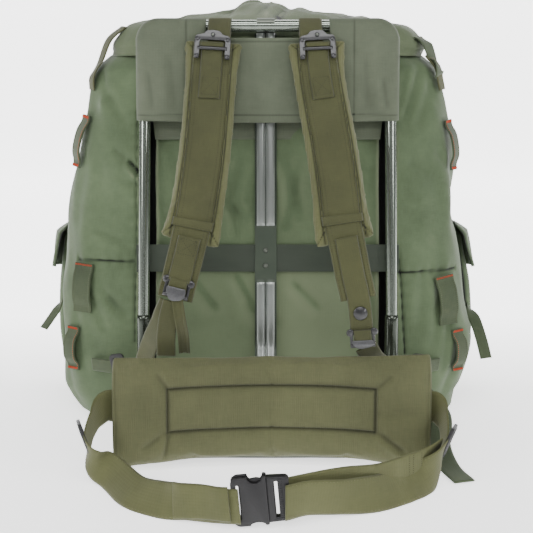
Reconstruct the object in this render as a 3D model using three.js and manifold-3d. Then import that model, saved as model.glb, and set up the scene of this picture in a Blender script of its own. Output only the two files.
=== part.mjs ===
// External frame backpack: a bent tube frame, a cloth bag hung on it, a shoulder harness and a waist belt.
// Millimetres. X runs along the wearer's back, -Y faces the wearer, +Z is up. The floor is Z = 0.
import * as THREE from 'three';
import { mergeVertices } from 'three/addons/utils/BufferGeometryUtils.js';
import Module from 'manifold-3d';

const wasm = await Module();
wasm.setup();

// Clearance between pieces that touch
const GAP = 0.3;

// Stance: the frame leans back, and its plane meets the floor at FOOT_Y
const LEAN = THREE.MathUtils.degToRad(7);
const FOOT_Y = -166;

// Frame
const TUBE_R = 7;
const LOWER_TUBE_R = 8.5;
const FRAME_X = 1.5;
const FRAME_HALF_LOW = 155;
const FRAME_TAPER = 6;
const TOP_BAR_Z = 501;
const CORNER_R = 42;
const SOCKET_TOP_Z = 149;
const SOCKET_DEPTH = 40;
const STAY_X = -1;
const STAY_WIDTH = 27;
const STAY_RIB = 6;
const STAY_PLATE = 2.4;
const STAY_FLAT_LOW_Z = 192;
const STAY_FLAT_HIGH_Z = 256;
const BAR_LOW_Z = 202;
const BAR_HEIGHT = 34;
const BAR_THICK = 2;
const BAR_LIP = 7;
const RIVET_R = 3.2;
const RIVET_HEAD = 1.6;
const RIVET_SHANK_R = 1.6;

// Bag
const CLOTH = 2;
const BAG_HEIGHT = 496;
const BAG_HALF_WIDTH = 278;
const BAG_DEPTH = 290;
const BAG_SIDES = 36;
const LID_TOP_Z = BAG_HEIGHT + 41;
const LID_HALF_WIDTH = 218;
const LID_DEPTH = 232;
const LID_RIM_Z = BAG_HEIGHT - 30;
const SLEEVE_SLACK = 2.7;
const SLEEVE_HEM_Z = 388;
const SLEEVE_BACK_HEM_Z = 364;
const SLEEVE_WINDOW_HALF = 75;
const SLEEVE_WINDOW_Z = 486.5;

// Harness
const WEB = 2;
const PAD_WIDTH = 73;
const PAD_THICK = 12;
const STRIP_WIDTH = 46;
const LOOP_WIDTH = 28;
const TAB_WIDTH = 26;
const BUCKLE_WIDTH = 44;
const BUCKLE_HEIGHT = 36;
const BUCKLE_THICK = 3;
const HARNESS_OUT = 105;

// Waist
const BELT_WIDTH = 38;
const KIDNEY_THICK = 13;
const KIDNEY_HALF_WIDTH = 181;
const KIDNEY_X = 6;
const KIDNEY_HEIGHT = 137;
const KIDNEY_OUT = 121;
const KIDNEY_MIDDLE = 0.775;
const SLIDER_WIDTH = 26;
const SLIDER_HEIGHT = 50;
const BELT_REACH = 412;
const BELT_TOP_Z = 77;
const CLASP_LENGTH = 58;
const CLASP_HEIGHT = 52;
const CLASP_THICK = 12;

const FRAME_HALF_TOP = FRAME_HALF_LOW - FRAME_TAPER;
const SLEEVE_HALF_WIDTH = FRAME_HALF_TOP + TUBE_R + GAP + CLOTH + SLEEVE_SLACK;
const BAR_BACK = TUBE_R + GAP + BAR_THICK;
// The lower tube's bow carries the middle of the kidney pad
const BOW_OUT = KIDNEY_OUT * KIDNEY_MIDDLE - KIDNEY_THICK / 2 - LOWER_TUBE_R - GAP;
const BAG_FRONT_OUT = -(BAR_BACK + GAP);

// Materials
const finish = (color, roughness, metalness = 0) =>
  new THREE.MeshStandardMaterial({ color, roughness, metalness });
const BAG_CLOTH = 0x6a7a5c;
const LID_CLOTH = 0x70765f;
const SLEEVE_CLOTH = 0x727969;
const STRIP_GREEN = 0x5b5b3f;
const PAD_GREEN = 0x626446;
const KIDNEY_GREEN = 0x6d6d4f;
const BELT_GREEN = 0x747452;
const DARK_WEB = 0x4c503a;
const FRAME_PAINT = 0x59634f;
const BLACK = 0x24262a;
const STEEL = 0x7c8080;

const pack = new THREE.Group();
const frame = new THREE.Group();
frame.position.set(0, FOOT_Y, 0);
frame.rotation.x = -LEAN;
pack.add(frame);

function put(name, geometry, material, parent = pack) {
  const mesh = new THREE.Mesh(geometry, material);
  mesh.name = name;
  parent.add(mesh);
  return mesh;
}

// A point given by its place across, its height and its distance out of the frame's plane to the wearer
function at(x, z, out = 0) {
  return new THREE.Vector3(x, FOOT_Y + z * Math.tan(LEAN) - out / Math.cos(LEAN), z);
}

// Height along the leaning frame of a point at floor height z and distance out
function along(z, out = 0) {
  return (z - out * Math.sin(LEAN)) / Math.cos(LEAN);
}

// Half spacing of the uprights, which spread a little towards the foot
function uprightHalf(z) {
  const t = (z - SOCKET_TOP_Z) / (TOP_BAR_Z - SOCKET_TOP_Z);
  return THREE.MathUtils.lerp(FRAME_HALF_LOW, FRAME_HALF_TOP, THREE.MathUtils.clamp(t, 0, 1));
}

// Value of one column of a table at z, straight between rows, where z is a share of scale
function column(rows, name, z, scale) {
  const share = z / scale;
  for (let i = 1; i < rows.length; i++) {
    if (share <= rows[i].z || i === rows.length - 1) {
      const t = (share - rows[i - 1].z) / (rows[i].z - rows[i - 1].z);
      return THREE.MathUtils.lerp(rows[i - 1][name], rows[i][name], THREE.MathUtils.clamp(t, 0, 1));
    }
  }
  return 0;
}

// A closed mesh of the given points and faces, turned inside out if it encloses a negative volume
function closed(points, faces) {
  let volume = 0;
  for (let i = 0; i < faces.length; i += 3) {
    const [a, b, c] = [points[faces[i]], points[faces[i + 1]], points[faces[i + 2]]];
    volume += a.dot(new THREE.Vector3().crossVectors(b, c));
  }
  if (volume < 0) faces.reverse();
  const geometry = new THREE.BufferGeometry();
  geometry.setAttribute('position', new THREE.Float32BufferAttribute(points.flatMap((p) => p.toArray()), 3));
  geometry.setIndex(faces);
  geometry.computeVertexNormals();
  return geometry;
}

// The triangles that close a ring as a fan about its mean, moved by hubShift. The ring starts at point first.
function fanCap(points, first, count, hubShift) {
  const mean = hubShift.clone();
  for (let i = 0; i < count; i++) mean.addScaledVector(points[first + i], 1 / count);
  const hub = points.push(mean) - 1;
  return Array.from({ length: count }, (_, i) => [first + i, first + ((i + 1) % count), hub]).flat();
}

// The triangles that close a long ring as a ladder between its going half and its returning half
function ladderCap(points, first, count) {
  const faces = [];
  for (let i = 0; i < count / 2 - 1; i++) {
    const [a, b] = [first + i, first + i + 1];
    const [c, d] = [first + count - 2 - i, first + count - 1 - i];
    faces.push(a, b, c, a, c, d);
  }
  return faces;
}

// Skin over a row of rings that have the same number of points, closed by cap at both ends
function loft(rings, cap = fanCap, hubShift = new THREE.Vector3()) {
  const count = rings[0].length;
  const points = rings.flat();
  const faces = [];
  for (let r = 0; r < rings.length - 1; r++) {
    for (let i = 0; i < count; i++) {
      const a = r * count + i;
      const b = r * count + ((i + 1) % count);
      faces.push(a, b, b + count, a, b + count, a + count);
    }
  }
  faces.push(...cap(points, 0, count, hubShift).reverse());
  faces.push(...cap(points, (rings.length - 1) * count, count, hubShift));
  return closed(points, faces);
}

// Section of flat webbing whose middle stands off the route by lift
const flat = (width, thick, lift = 0) => [
  [-width / 2, lift - thick / 2],
  [width / 2, lift - thick / 2],
  [width / 2, lift + thick / 2],
  [-width / 2, lift + thick / 2],
];

// Section of a padded strip with rounded edges whose middle stands off the route by lift
const padded = (width, thick, lift = 0) => {
  const edge = width / 2 - thick * 0.35;
  return [
    [-width / 2, lift - thick * 0.12], [-edge, lift - thick / 2], [edge, lift - thick / 2],
    [width / 2, lift - thick * 0.12], [width / 2, lift + thick * 0.12], [edge, lift + thick / 2],
    [-edge, lift + thick / 2], [-width / 2, lift + thick * 0.12],
  ];
};

// A smooth path through knots. Each knot holds a point and the way that a section faces there.
function route(knots) {
  const curve = new THREE.CatmullRomCurve3(knots.map((k) => k.point), false, 'centripetal');
  const spans = knots.length - 1;
  return (t) => {
    const k = Math.min(Math.floor(t * spans), spans - 1);
    const facing = knots[k].face.clone().lerp(knots[k + 1].face, t * spans - k);
    const tangent = curve.getTangent(t);
    const across = new THREE.Vector3().crossVectors(facing, tangent).normalize();
    const outward = new THREE.Vector3().crossVectors(tangent, across).normalize();
    return { place: curve.getPoint(t), tangent, across, outward };
  };
}

// The share of a falling path at which it reaches height z
function shareAt(path, z) {
  let [low, high] = [0, 1];
  for (let i = 0; i < 30; i++) {
    const middle = (low + high) / 2;
    if (path(middle).place.z > z) low = middle;
    else high = middle;
  }
  return low;
}

// A section carried along a route from one share of it to another. sectionAt takes the share of the piece's length.
function sweep(path, sectionAt, steps, from = 0, to = 1) {
  const rings = [];
  for (let i = 0; i <= steps; i++) {
    const { place, across, outward } = path(THREE.MathUtils.lerp(from, to, i / steps));
    rings.push(
      sectionAt(i / steps).map(([u, v]) => place.clone().addScaledVector(across, u).addScaledVector(outward, v)),
    );
  }
  return loft(rings);
}

// Knots from rows of x, z, out and the way it faces: fx across, fo out to the wearer, fz up
const webKnots = (rows) =>
  rows.map(({ x, z, out, fx = 0, fo = 1, fz = 0 }) => ({
    point: at(x, z, out),
    face: new THREE.Vector3(fx, -fo, fz),
  }));

function webbing(rows, width, steps = rows.length * 3 - 3) {
  return sweep(route(webKnots(rows)), () => flat(width, WEB), steps);
}

// A plate cut to a shape, thick along its own Z and centred on it
function plate(shape, thick) {
  const geometry = new THREE.ExtrudeGeometry(shape, { depth: thick, bevelEnabled: false, curveSegments: 6 });
  return geometry.translate(0, 0, -thick / 2);
}

// A rectangle with corners cut off by cut
function clipped(width, height, cut, cx = 0, cy = 0) {
  const [w, h] = [width / 2, height / 2];
  const corners = [
    [-w + cut, -h], [w - cut, -h], [w, -h + cut], [w, h - cut],
    [w - cut, h], [-w + cut, h], [-w, h - cut], [-w, -h + cut],
  ];
  return corners.map(([x, y]) => new THREE.Vector2(cx + x, cy + y));
}

// Moves a shape drawn in X and Y to a place, with its X along right and its Z along face
function seat(geometry, place, right, face) {
  const x = right.clone().normalize();
  const z = face.clone().addScaledVector(x, -face.dot(x)).normalize();
  const y = new THREE.Vector3().crossVectors(z, x);
  return geometry.applyMatrix4(new THREE.Matrix4().makeBasis(x, y, z).setPosition(place));
}

// Lays a buckle on webbing at share t of its route, its X along the webbing
function alongWeb(path, geometry, t) {
  const { place, tangent, outward } = path(t);
  const lift = WEB / 2 + 2.5 * GAP + BUCKLE_THICK / 2;
  return seat(geometry, place.clone().addScaledVector(outward, lift), tangent, outward);
}

function toSolid(geometry) {
  const bare = geometry.clone();
  bare.deleteAttribute('normal');
  bare.deleteAttribute('uv');
  const merged = mergeVertices(bare, 1e-3);
  return new wasm.Manifold(
    new wasm.Mesh({
      numProp: 3,
      vertProperties: new Float32Array(merged.attributes.position.array),
      triVerts: new Uint32Array(merged.index.array),
    }),
  );
}

function fromSolid(solid) {
  const mesh = solid.getMesh();
  const geometry = new THREE.BufferGeometry();
  geometry.setAttribute('position', new THREE.BufferAttribute(mesh.vertProperties, 3));
  geometry.setIndex(new THREE.BufferAttribute(mesh.triVerts, 1));
  geometry.computeVertexNormals();
  return geometry;
}

function minus(body, ...cuts) {
  return fromSolid(cuts.reduce((left, cut) => left.subtract(toSolid(cut)), toSolid(body)));
}

function plus(body, ...more) {
  return fromSolid(more.reduce((sum, piece) => sum.add(toSolid(piece)), toSolid(body)));
}

function block(x0, x1, y0, y1, z0, z1) {
  const box = new THREE.BoxGeometry(x1 - x0, y1 - y0, z1 - z0);
  return box.translate((x0 + x1) / 2, (y0 + y1) / 2, (z0 + z1) / 2);
}

function tube(path, radius, steps, sides = 10) {
  const section = new THREE.Shape();
  section.absarc(0, 0, radius, 0, Math.PI * 2);
  return new THREE.ExtrudeGeometry(section, { steps, extrudePath: path, curveSegments: sides / 2 });
}

const DEG = Math.PI / 180;
const RIGHT = new THREE.Vector3(1, 0, 0);
const WEARER = new THREE.Vector3(0, -1, 0);

// Frame: an upper bent tube whose ends stand in a lower one

function upperTube() {
  const left = (z) => at(FRAME_X - uprightHalf(z), z);
  const right = (z) => at(FRAME_X + uprightHalf(z), z);
  const foot = SOCKET_TOP_Z - SOCKET_DEPTH + GAP;
  const shoulder = TOP_BAR_Z - CORNER_R;
  const corner = uprightHalf(TOP_BAR_Z);
  const path = new THREE.CurvePath();
  path.add(new THREE.LineCurve3(left(foot), left(SOCKET_TOP_Z)));
  path.add(new THREE.LineCurve3(left(SOCKET_TOP_Z), left(shoulder)));
  path.add(
    new THREE.QuadraticBezierCurve3(
      left(shoulder), at(FRAME_X - corner, TOP_BAR_Z), at(FRAME_X - corner + CORNER_R, TOP_BAR_Z),
    ),
  );
  path.add(
    new THREE.LineCurve3(at(FRAME_X - corner + CORNER_R, TOP_BAR_Z), at(FRAME_X + corner - CORNER_R, TOP_BAR_Z)),
  );
  path.add(
    new THREE.QuadraticBezierCurve3(
      at(FRAME_X + corner - CORNER_R, TOP_BAR_Z), at(FRAME_X + corner, TOP_BAR_Z), right(shoulder),
    ),
  );
  path.add(new THREE.LineCurve3(right(shoulder), right(SOCKET_TOP_Z)));
  path.add(new THREE.LineCurve3(right(SOCKET_TOP_Z), right(foot)));
  return tube(path, TUBE_R, 44);
}

// Side view of the lower tube: its height as a share of SOCKET_TOP_Z, and how far it comes forward
// and in as shares of BOW_OUT and FRAME_HALF_LOW
const LOWER_BENDS = [
  { z: 1, out: 0, half: 1 },
  { z: 0.72, out: 0, half: 1 },
  { z: 0.5, out: 0.09, half: 0.995 },
  { z: 0.32, out: 0.34, half: 0.98 },
  { z: 0.17, out: 0.66, half: 0.95 },
  { z: 0.075, out: 0.88, half: 0.86 },
  { z: 0.012, out: 0.99, half: 0.68 },
  { z: 0.002, out: 1, half: 0.3 },
];

function bendHeight(share) {
  const floor = LOWER_TUBE_R + GAP;
  return floor + share * (SOCKET_TOP_Z - floor);
}

function lowerTube() {
  const side = (sign) =>
    LOWER_BENDS.map((b) => at(FRAME_X + sign * b.half * FRAME_HALF_LOW, bendHeight(b.z), b.out * BOW_OUT));
  const path = new THREE.CatmullRomCurve3([...side(-1), ...side(1).reverse()], false, 'centripetal');
  const body = tube(path, LOWER_TUBE_R, 44);
  const bore = (sign) => {
    const half = (z) => FRAME_X + sign * uprightHalf(z);
    const low = SOCKET_TOP_Z - SOCKET_DEPTH;
    const line = new THREE.LineCurve3(at(half(low), low), at(half(SOCKET_TOP_Z), SOCKET_TOP_Z + BAR_HEIGHT));
    return tube(line, TUBE_R + GAP, 1);
  };
  return minus(body, bore(-1), bore(1));
}

// Centre stay: a flat strip with two raised ribs, pressed flat where the cross bar is riveted to it
function stay() {
  const half = STAY_WIDTH / 2;
  const ribs = (rise) => [
    [-half, 0], [half, 0], [half, STAY_PLATE], [half * 0.82, STAY_PLATE + rise * 0.7],
    [half * 0.5, STAY_PLATE + rise], [half * 0.2, STAY_PLATE + rise * 0.7], [0, STAY_PLATE],
    [-half * 0.2, STAY_PLATE + rise * 0.7], [-half * 0.5, STAY_PLATE + rise],
    [-half * 0.82, STAY_PLATE + rise * 0.7], [-half, STAY_PLATE],
  ];
  const full = STAY_RIB - STAY_PLATE;
  const back = -TUBE_R;
  const top = TOP_BAR_Z - TUBE_R - BAR_THICK - 2 * GAP;
  const foot = bendHeight(0) + LOWER_TUBE_R + GAP;
  const footOut = BOW_OUT - LOWER_TUBE_R;
  const rows = [
    { z: top, out: back, rise: full },
    { z: STAY_FLAT_HIGH_Z + STAY_RIB, out: back, rise: full },
    { z: STAY_FLAT_HIGH_Z, out: back, rise: 0 },
    { z: STAY_FLAT_LOW_Z, out: back, rise: 0 },
    { z: STAY_FLAT_LOW_Z - STAY_RIB, out: back, rise: full },
    { z: bendHeight(0.72), out: back, rise: full },
    { z: bendHeight(0.5), out: back + 0.1 * BOW_OUT, rise: full },
    { z: bendHeight(0.32), out: back + 0.33 * BOW_OUT, rise: full },
    { z: bendHeight(0.2), out: back + 0.62 * BOW_OUT, rise: full },
    { z: foot, out: footOut, rise: 0 },
  ];
  const rings = rows.map((row, i) => {
    const ahead = rows[Math.min(i + 1, rows.length - 1)];
    const behind = rows[Math.max(i - 1, 0)];
    const run = at(0, ahead.z, ahead.out).sub(at(0, behind.z, behind.out)).normalize();
    const face = new THREE.Vector3().crossVectors(RIGHT, run).normalize();
    if (face.y > 0) face.negate();
    return ribs(row.rise).map(([u, v]) => at(STAY_X + u, row.z, row.out).addScaledVector(face, v));
  });
  return loft(rings);
}

// Cross bar: a flat bar behind the uprights whose ends turn forward round their outer sides
function crossBar() {
  const middle = BAR_LOW_Z + BAR_HEIGHT / 2;
  const reach = uprightHalf(middle) + TUBE_R + GAP + BAR_THICK;
  const back = TUBE_R + GAP;
  const outline = [
    [-reach, BAR_LIP - back], [-reach, -back - BAR_THICK], [reach, -back - BAR_THICK], [reach, BAR_LIP - back],
    [reach - BAR_THICK, BAR_LIP - back], [reach - BAR_THICK, -back], [-reach + BAR_THICK, -back],
    [-reach + BAR_THICK, BAR_LIP - back],
  ];
  const shape = new THREE.Shape(outline.map(([x, out]) => new THREE.Vector2(FRAME_X + x, -out)));
  return plate(shape, BAR_HEIGHT).translate(0, 0, along(middle));
}

// Clip that folds the stay's top over the top bar
function stayClip() {
  const inner = TUBE_R + GAP;
  const outer = inner + BAR_THICK;
  const shape = new THREE.Shape();
  shape.absarc(0, 0, outer, Math.PI * 0.1, Math.PI, false);
  shape.lineTo(-outer, -outer);
  shape.lineTo(-inner, -outer);
  shape.lineTo(-inner, 0);
  shape.absarc(0, 0, inner, Math.PI, Math.PI * 0.1, true);
  const clip = plate(shape, STAY_WIDTH * 0.8);
  const place = new THREE.Vector3(STAY_X, 0, along(TOP_BAR_Z));
  return seat(clip, place, WEARER, RIGHT.clone().negate());
}

function rivet(z) {
  const back = -(TUBE_R + BAR_THICK);
  const front = -TUBE_R + STAY_PLATE + GAP;
  const profile = [
    [0, back], [RIVET_SHANK_R, back], [RIVET_SHANK_R, front], [RIVET_R, front],
    [RIVET_R * 0.7, front + RIVET_HEAD], [0, front + RIVET_HEAD],
  ];
  const head = new THREE.LatheGeometry(profile.map(([r, h]) => new THREE.Vector2(r, h)), 10);
  return head.rotateX(Math.PI).translate(STAY_X, 0, along(z));
}

function rivetHole(z) {
  const bore = new THREE.CylinderGeometry(RIVET_SHANK_R + GAP, RIVET_SHANK_R + GAP, BAR_BACK * 2, 10);
  return bore.translate(STAY_X, 0, along(z));
}

const RIVETS = { stay_rivet_upper: 229, stay_rivet_lower: 210 };
const steel = finish(STEEL, 0.4, 0.8);
const framePaint = finish(FRAME_PAINT, 0.55, 0.4);

put('upper_frame_tube', upperTube(), framePaint);
put('lower_frame_tube', lowerTube(), finish(FRAME_PAINT, 0.6, 0.4));
const holes = Object.values(RIVETS).map(rivetHole);
const holesInPlace = Object.values(RIVETS).map((z) => rivetHole(z).rotateX(-LEAN).translate(0, FOOT_Y, 0));
put('center_stay', minus(stay(), ...holesInPlace), finish(0x4b5340, 0.45, 0.4));
put('cross_bar', minus(crossBar(), ...holes), finish(0x3a4135, 0.7, 0.3), frame);
put('stay_clip', stayClip(), steel, frame);
for (const [name, z] of Object.entries(RIVETS)) put(name, rivet(z), steel, frame);

// Bag: rows from the foot up. z is a share of BAG_HEIGHT, left and right of BAG_HALF_WIDTH, depth of BAG_DEPTH.
const BAG_ROWS = [
  { z: 0, left: 0.835, right: 0.845, depth: 0.86 },
  { z: 0.022, left: 0.93, right: 0.93, depth: 0.93 },
  { z: 0.08, left: 1, right: 0.99, depth: 0.985 },
  { z: 0.18, left: 1.003, right: 0.993, depth: 1 },
  { z: 0.3, left: 0.996, right: 0.98, depth: 1 },
  { z: 0.42, left: 0.98, right: 0.945, depth: 0.98 },
  { z: 0.545, left: 0.953, right: 0.912, depth: 0.93 },
  { z: 0.67, left: 0.92, right: 0.905, depth: 0.87 },
  { z: 0.8, left: 0.86, right: 0.862, depth: 0.8 },
  { z: 0.9, left: 0.805, right: 0.81, depth: 0.755 },
  { z: 0.945, left: 0.74, right: 0.745, depth: 0.7 },
  { z: 0.97, left: 0.6, right: 0.6, depth: 0.58 },
  { z: 1, left: 0.56, right: 0.56, depth: 0.54 },
];

// Where the bag's front lies behind the frame's plane, and its middle line across
function bagFrontY(z) {
  return at(0, z, BAG_FRONT_OUT).y;
}

// A point of the bag's outline at height z and an angle, moved out by off along the outline's normal.
// Angle 0 is the right side and 90 degrees the side away from the wearer.
function bagSkin(z, angle, off = 0) {
  const depth = column(BAG_ROWS, 'depth', z, BAG_HEIGHT) * BAG_DEPTH;
  const left = column(BAG_ROWS, 'left', z, BAG_HEIGHT) * BAG_HALF_WIDTH;
  const right = column(BAG_ROWS, 'right', z, BAG_HEIGHT) * BAG_HALF_WIDTH;
  const [c, s] = [Math.cos(angle), Math.sin(angle)];
  const half = c < 0 ? left : right;
  const power = s < 0 ? 3.6 : 2.7;
  const neck = THREE.MathUtils.smoothstep(z, BAG_HEIGHT * 0.9, BAG_HEIGHT * 0.97) * BAG_DEPTH * 0.1;
  const x = half * Math.sign(c) * Math.abs(c) ** (2 / power);
  const y = (depth / 2) * Math.sign(s) * Math.abs(s) ** (2 / power);
  const nx = Math.sign(c) * Math.abs(c) ** (2 - 2 / power) / half;
  const ny = Math.sign(s) * Math.abs(s) ** (2 - 2 / power) / (depth / 2);
  const length = Math.hypot(nx, ny);
  return new THREE.Vector3(
    x + (off * nx) / length,
    bagFrontY(z) + neck + depth / 2 + y + (off * ny) / length,
    z,
  );
}

function bagRing(z, off) {
  return Array.from({ length: BAG_SIDES }, (_, i) => bagSkin(z, (i / BAG_SIDES) * Math.PI * 2, off));
}

function bagBody() {
  const outer = BAG_ROWS.map((row) => bagRing(row.z * BAG_HEIGHT, 0));
  const inner = BAG_ROWS.slice(1).reverse().map((row) => bagRing(row.z * BAG_HEIGHT, -CLOTH));
  const floor = bagRing(0, -CLOTH).map((p) => p.setZ(CLOTH));
  return loft([...outer, ...inner, floor], fanCap, new THREE.Vector3(9, 13, 0));
}

// Lid: a soft cap over the neck, with a hump in the middle. z is the share of the way from its rim to its top,
// wide that of its half width and deep that of its depth.
const LID_ROWS = [
  { z: 0, wide: 0.985, deep: 0.985 },
  { z: 0.2, wide: 0.97, deep: 0.99 },
  { z: 0.4, wide: 0.92, deep: 0.96 },
  { z: 0.56, wide: 0.853, deep: 0.9 },
  { z: 0.68, wide: 0.65, deep: 0.79 },
  { z: 0.79, wide: 0.38, deep: 0.62 },
  { z: 0.9, wide: 0.2, deep: 0.42 },
  { z: 1, wide: 0.06, deep: 0.16 },
];

function lidRing(row, off) {
  const z = LID_RIM_Z + row.z * (LID_TOP_Z - LID_RIM_Z) + (row.z > 0 ? off : 0);
  const front = bagFrontY(z) + GAP;
  return Array.from({ length: BAG_SIDES }, (_, i) => {
    const angle = (i / BAG_SIDES) * Math.PI * 2;
    const [c, s] = [Math.cos(angle), Math.sin(angle)];
    const power = s < 0 ? 3.4 : 2.5;
    const x = (LID_HALF_WIDTH * row.wide + off) * Math.sign(c) * Math.abs(c) ** (2 / power);
    const y = ((LID_DEPTH / 2) * row.deep + off) * Math.sign(s) * Math.abs(s) ** (2 / power);
    return new THREE.Vector3(x, front + LID_DEPTH / 2 + y, z);
  });
}

function lidFlap() {
  const outer = LID_ROWS.map((row) => lidRing(row, 0)).reverse();
  const inner = LID_ROWS.map((row) => lidRing(row, -CLOTH));
  return loft([...outer, ...inner]);
}

put('bag_body', bagBody(), finish(BAG_CLOTH, 0.9));
put('lid_flap', lidFlap(), finish(LID_CLOTH, 0.9));

// Sleeve: an envelope over the frame's top corners, with a window in the middle for the bar and its loops
function frameSleeve() {
  const outline = (half, top, bottom, radius) => {
    const shape = new THREE.Shape();
    shape.moveTo(FRAME_X - half, bottom);
    shape.lineTo(FRAME_X + half, bottom);
    shape.lineTo(FRAME_X + half, top - radius);
    shape.absarc(FRAME_X + half - radius, top - radius, radius, 0, Math.PI / 2, false);
    shape.absarc(FRAME_X - half + radius, top - radius, radius, Math.PI / 2, Math.PI, false);
    return shape;
  };
  const reach = TUBE_R + GAP;
  const top = along(TOP_BAR_Z) + reach;
  const upright = (shape, thick) => plate(shape, thick).rotateX(Math.PI / 2);
  const cornerR = CORNER_R * 0.6;
  const rim = outline(SLEEVE_HALF_WIDTH, top + CLOTH, along(SLEEVE_HEM_Z), cornerR + CLOTH);
  const outer = upright(rim, 2 * (reach + CLOTH));
  const inner = upright(outline(SLEEVE_HALF_WIDTH - CLOTH, top, along(SLEEVE_HEM_Z) - 1, cornerR), 2 * reach);
  const backHem = block(
    FRAME_X - SLEEVE_HALF_WIDTH * 0.86, FRAME_X + SLEEVE_HALF_WIDTH * 0.86, reach, reach + CLOTH,
    along(SLEEVE_BACK_HEM_Z), along(SLEEVE_HEM_Z) + CLOTH,
  );
  const window = block(
    FRAME_X - SLEEVE_WINDOW_HALF, FRAME_X + SLEEVE_WINDOW_HALF, -BAR_BACK * 2, BAR_BACK * 2,
    along(SLEEVE_WINDOW_Z), top + 2 * CLOTH,
  );
  return plus(minus(outer, inner, window), backHem);
}

put('frame_sleeve', frameSleeve(), finish(SLEEVE_CLOTH, 0.9), frame);

// A point of the bag's faceted skin at an angle in degrees, moved out by off
function onBag(z, degrees, off = 0) {
  const side = (degrees / 360) * BAG_SIDES;
  const turn = (Math.PI * 2) / BAG_SIDES;
  const a = Math.floor(side);
  return bagSkin(z, a * turn, off).lerp(bagSkin(z, (a + 1) * turn, off), side - a);
}

// Pockets: the angles between which each lies on the bag, its top as a share of BAG_HEIGHT and its depth
const POCKETS = [
  { name: 'side_pocket_right', from: 1, to: 55, head: 0.46, depth: 24 },
  { name: 'center_pocket', from: 65, to: 115, head: 0.46, depth: 44 },
  { name: 'side_pocket_left', from: 125, to: 179, head: 0.46, depth: 24 },
];
const POCKET_STEP = 360 / BAG_SIDES;
const POCKET_SEAM = 1;
const FLAP_DROP = 0.125;
const FLAP_ROOM = 2;

// One level of a pocket: along the bag's facets, then back along its bulging front, all moved in by inset
function pocketRing(p, z, inset, swell) {
  const trim = (inset / BAG_HALF_WIDTH) * 50;
  const angles = [p.from];
  const start = Math.ceil(p.from / POCKET_STEP + 0.2) * POCKET_STEP;
  for (let a = start; a < p.to - 1; a += POCKET_STEP) angles.push(a);
  angles.push(p.to);
  const place = (a) => THREE.MathUtils.clamp(a, p.from + trim, p.to - trim);
  const back = angles.map((a) => onBag(z, place(a), POCKET_SEAM + inset));
  const front = angles.map((a) => {
    const across = (2 * (a - p.from)) / (p.to - p.from) - 1;
    const bulge = Math.sqrt(1 - Math.min(Math.abs(across), 1) ** 5);
    const out = THREE.MathUtils.lerp(0.35, 1, bulge) * p.depth * swell;
    return onBag(z, place(a), POCKET_SEAM + Math.max(out - inset, inset + CLOTH));
  });
  return [...back, ...front.reverse()];
}

// Levels of a pocket: its swelling at the bag's own rows, so that its back lies flat on the bag
const POCKET_ROWS = [
  { z: 0.08, swell: 0.7 },
  { z: 0.18, swell: 0.98 },
  { z: 0.3, swell: 1.04 },
  { z: 0.42, swell: 0.95 },
];

function pocketBody(p) {
  const rows = [...POCKET_ROWS, { z: p.head, swell: 0.86 }];
  const outer = rows.map((row) => pocketRing(p, row.z * BAG_HEIGHT, 0, row.swell));
  const inner = rows.map((row, i) =>
    pocketRing(p, row.z * BAG_HEIGHT + (i === 0 ? CLOTH : 0), CLOTH, row.swell)).reverse();
  return loft([...outer, ...inner], ladderCap);
}

function pocketFlap(p) {
  const top = p.head * BAG_HEIGHT + GAP;
  const hem = (p.head - FLAP_DROP) * BAG_HEIGHT;
  const fold = POCKET_ROWS[POCKET_ROWS.length - 1].z * BAG_HEIGHT;
  const wrap = { ...p, from: p.from - 2, to: p.to + 2, depth: p.depth + 2 * CLOTH + FLAP_ROOM };
  const cover = loft([
    pocketRing(wrap, hem, 0, 1.03),
    pocketRing(wrap, fold, 0, 1),
    pocketRing(wrap, top, 0, 0.94),
    pocketRing(wrap, top + 3 * CLOTH, 0, 0.6),
    pocketRing(wrap, top + 4 * CLOTH, 0, 0.2),
  ], ladderCap);
  const hollow = { ...p, from: p.from - 0.5, to: p.to + 0.5, depth: p.depth + FLAP_ROOM };
  const room = loft([
    pocketRing(hollow, hem - CLOTH, -2 * GAP, 1.06),
    pocketRing(hollow, fold, -2 * GAP, 1.02),
    pocketRing(hollow, top, -2 * GAP, 0.94),
  ], ladderCap);
  return minus(cover, room);
}

for (const p of POCKETS) {
  put(p.name, pocketBody(p), finish(BAG_CLOTH, 0.9));
  put(`${p.name}_flap`, pocketFlap(p), finish(BAG_CLOTH, 0.88));
}

// Equipment hangers: upright webbing loops sewn to the bag at both ends and standing off it between them.
// low and high are shares of BAG_HEIGHT.
const HANGERS = [
  { name: 'hanger_left_upper', angle: 203, low: 0.6573, high: 0.7903, width: 24, off: 4 },
  { name: 'hanger_left_middle', angle: 221, low: 0.2883, high: 0.4153, width: 32, off: 3 },
  { name: 'hanger_left_lower', angle: 214, low: 0.1331, high: 0.246, width: 24, off: 6 },
  { name: 'hanger_right_upper', angle: -22, low: 0.6492, high: 0.7782, width: 24, off: 4 },
  { name: 'hanger_right_middle', angle: -41, low: 0.256, high: 0.3831, width: 32, off: 3 },
  { name: 'hanger_right_lower', angle: -34, low: 0.129, high: 0.2379, width: 24, off: 6 },
];

function bagKnot(z, degrees, off) {
  const face = onBag(z, degrees, 1).sub(onBag(z, degrees, 0)).normalize();
  return { point: onBag(z, degrees, off), face };
}

function hanger(h) {
  const lift = WEB / 2 + 3 * GAP;
  const knots = [[0, 0], [0.12, 0], [0.3, 1], [0.7, 1], [0.88, 0], [1, 0]].map(([t, rise]) =>
    bagKnot(THREE.MathUtils.lerp(h.low, h.high, t) * BAG_HEIGHT, h.angle, lift + rise * h.off));
  return sweep(route(knots), () => flat(h.width, WEB), 10);
}

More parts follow.
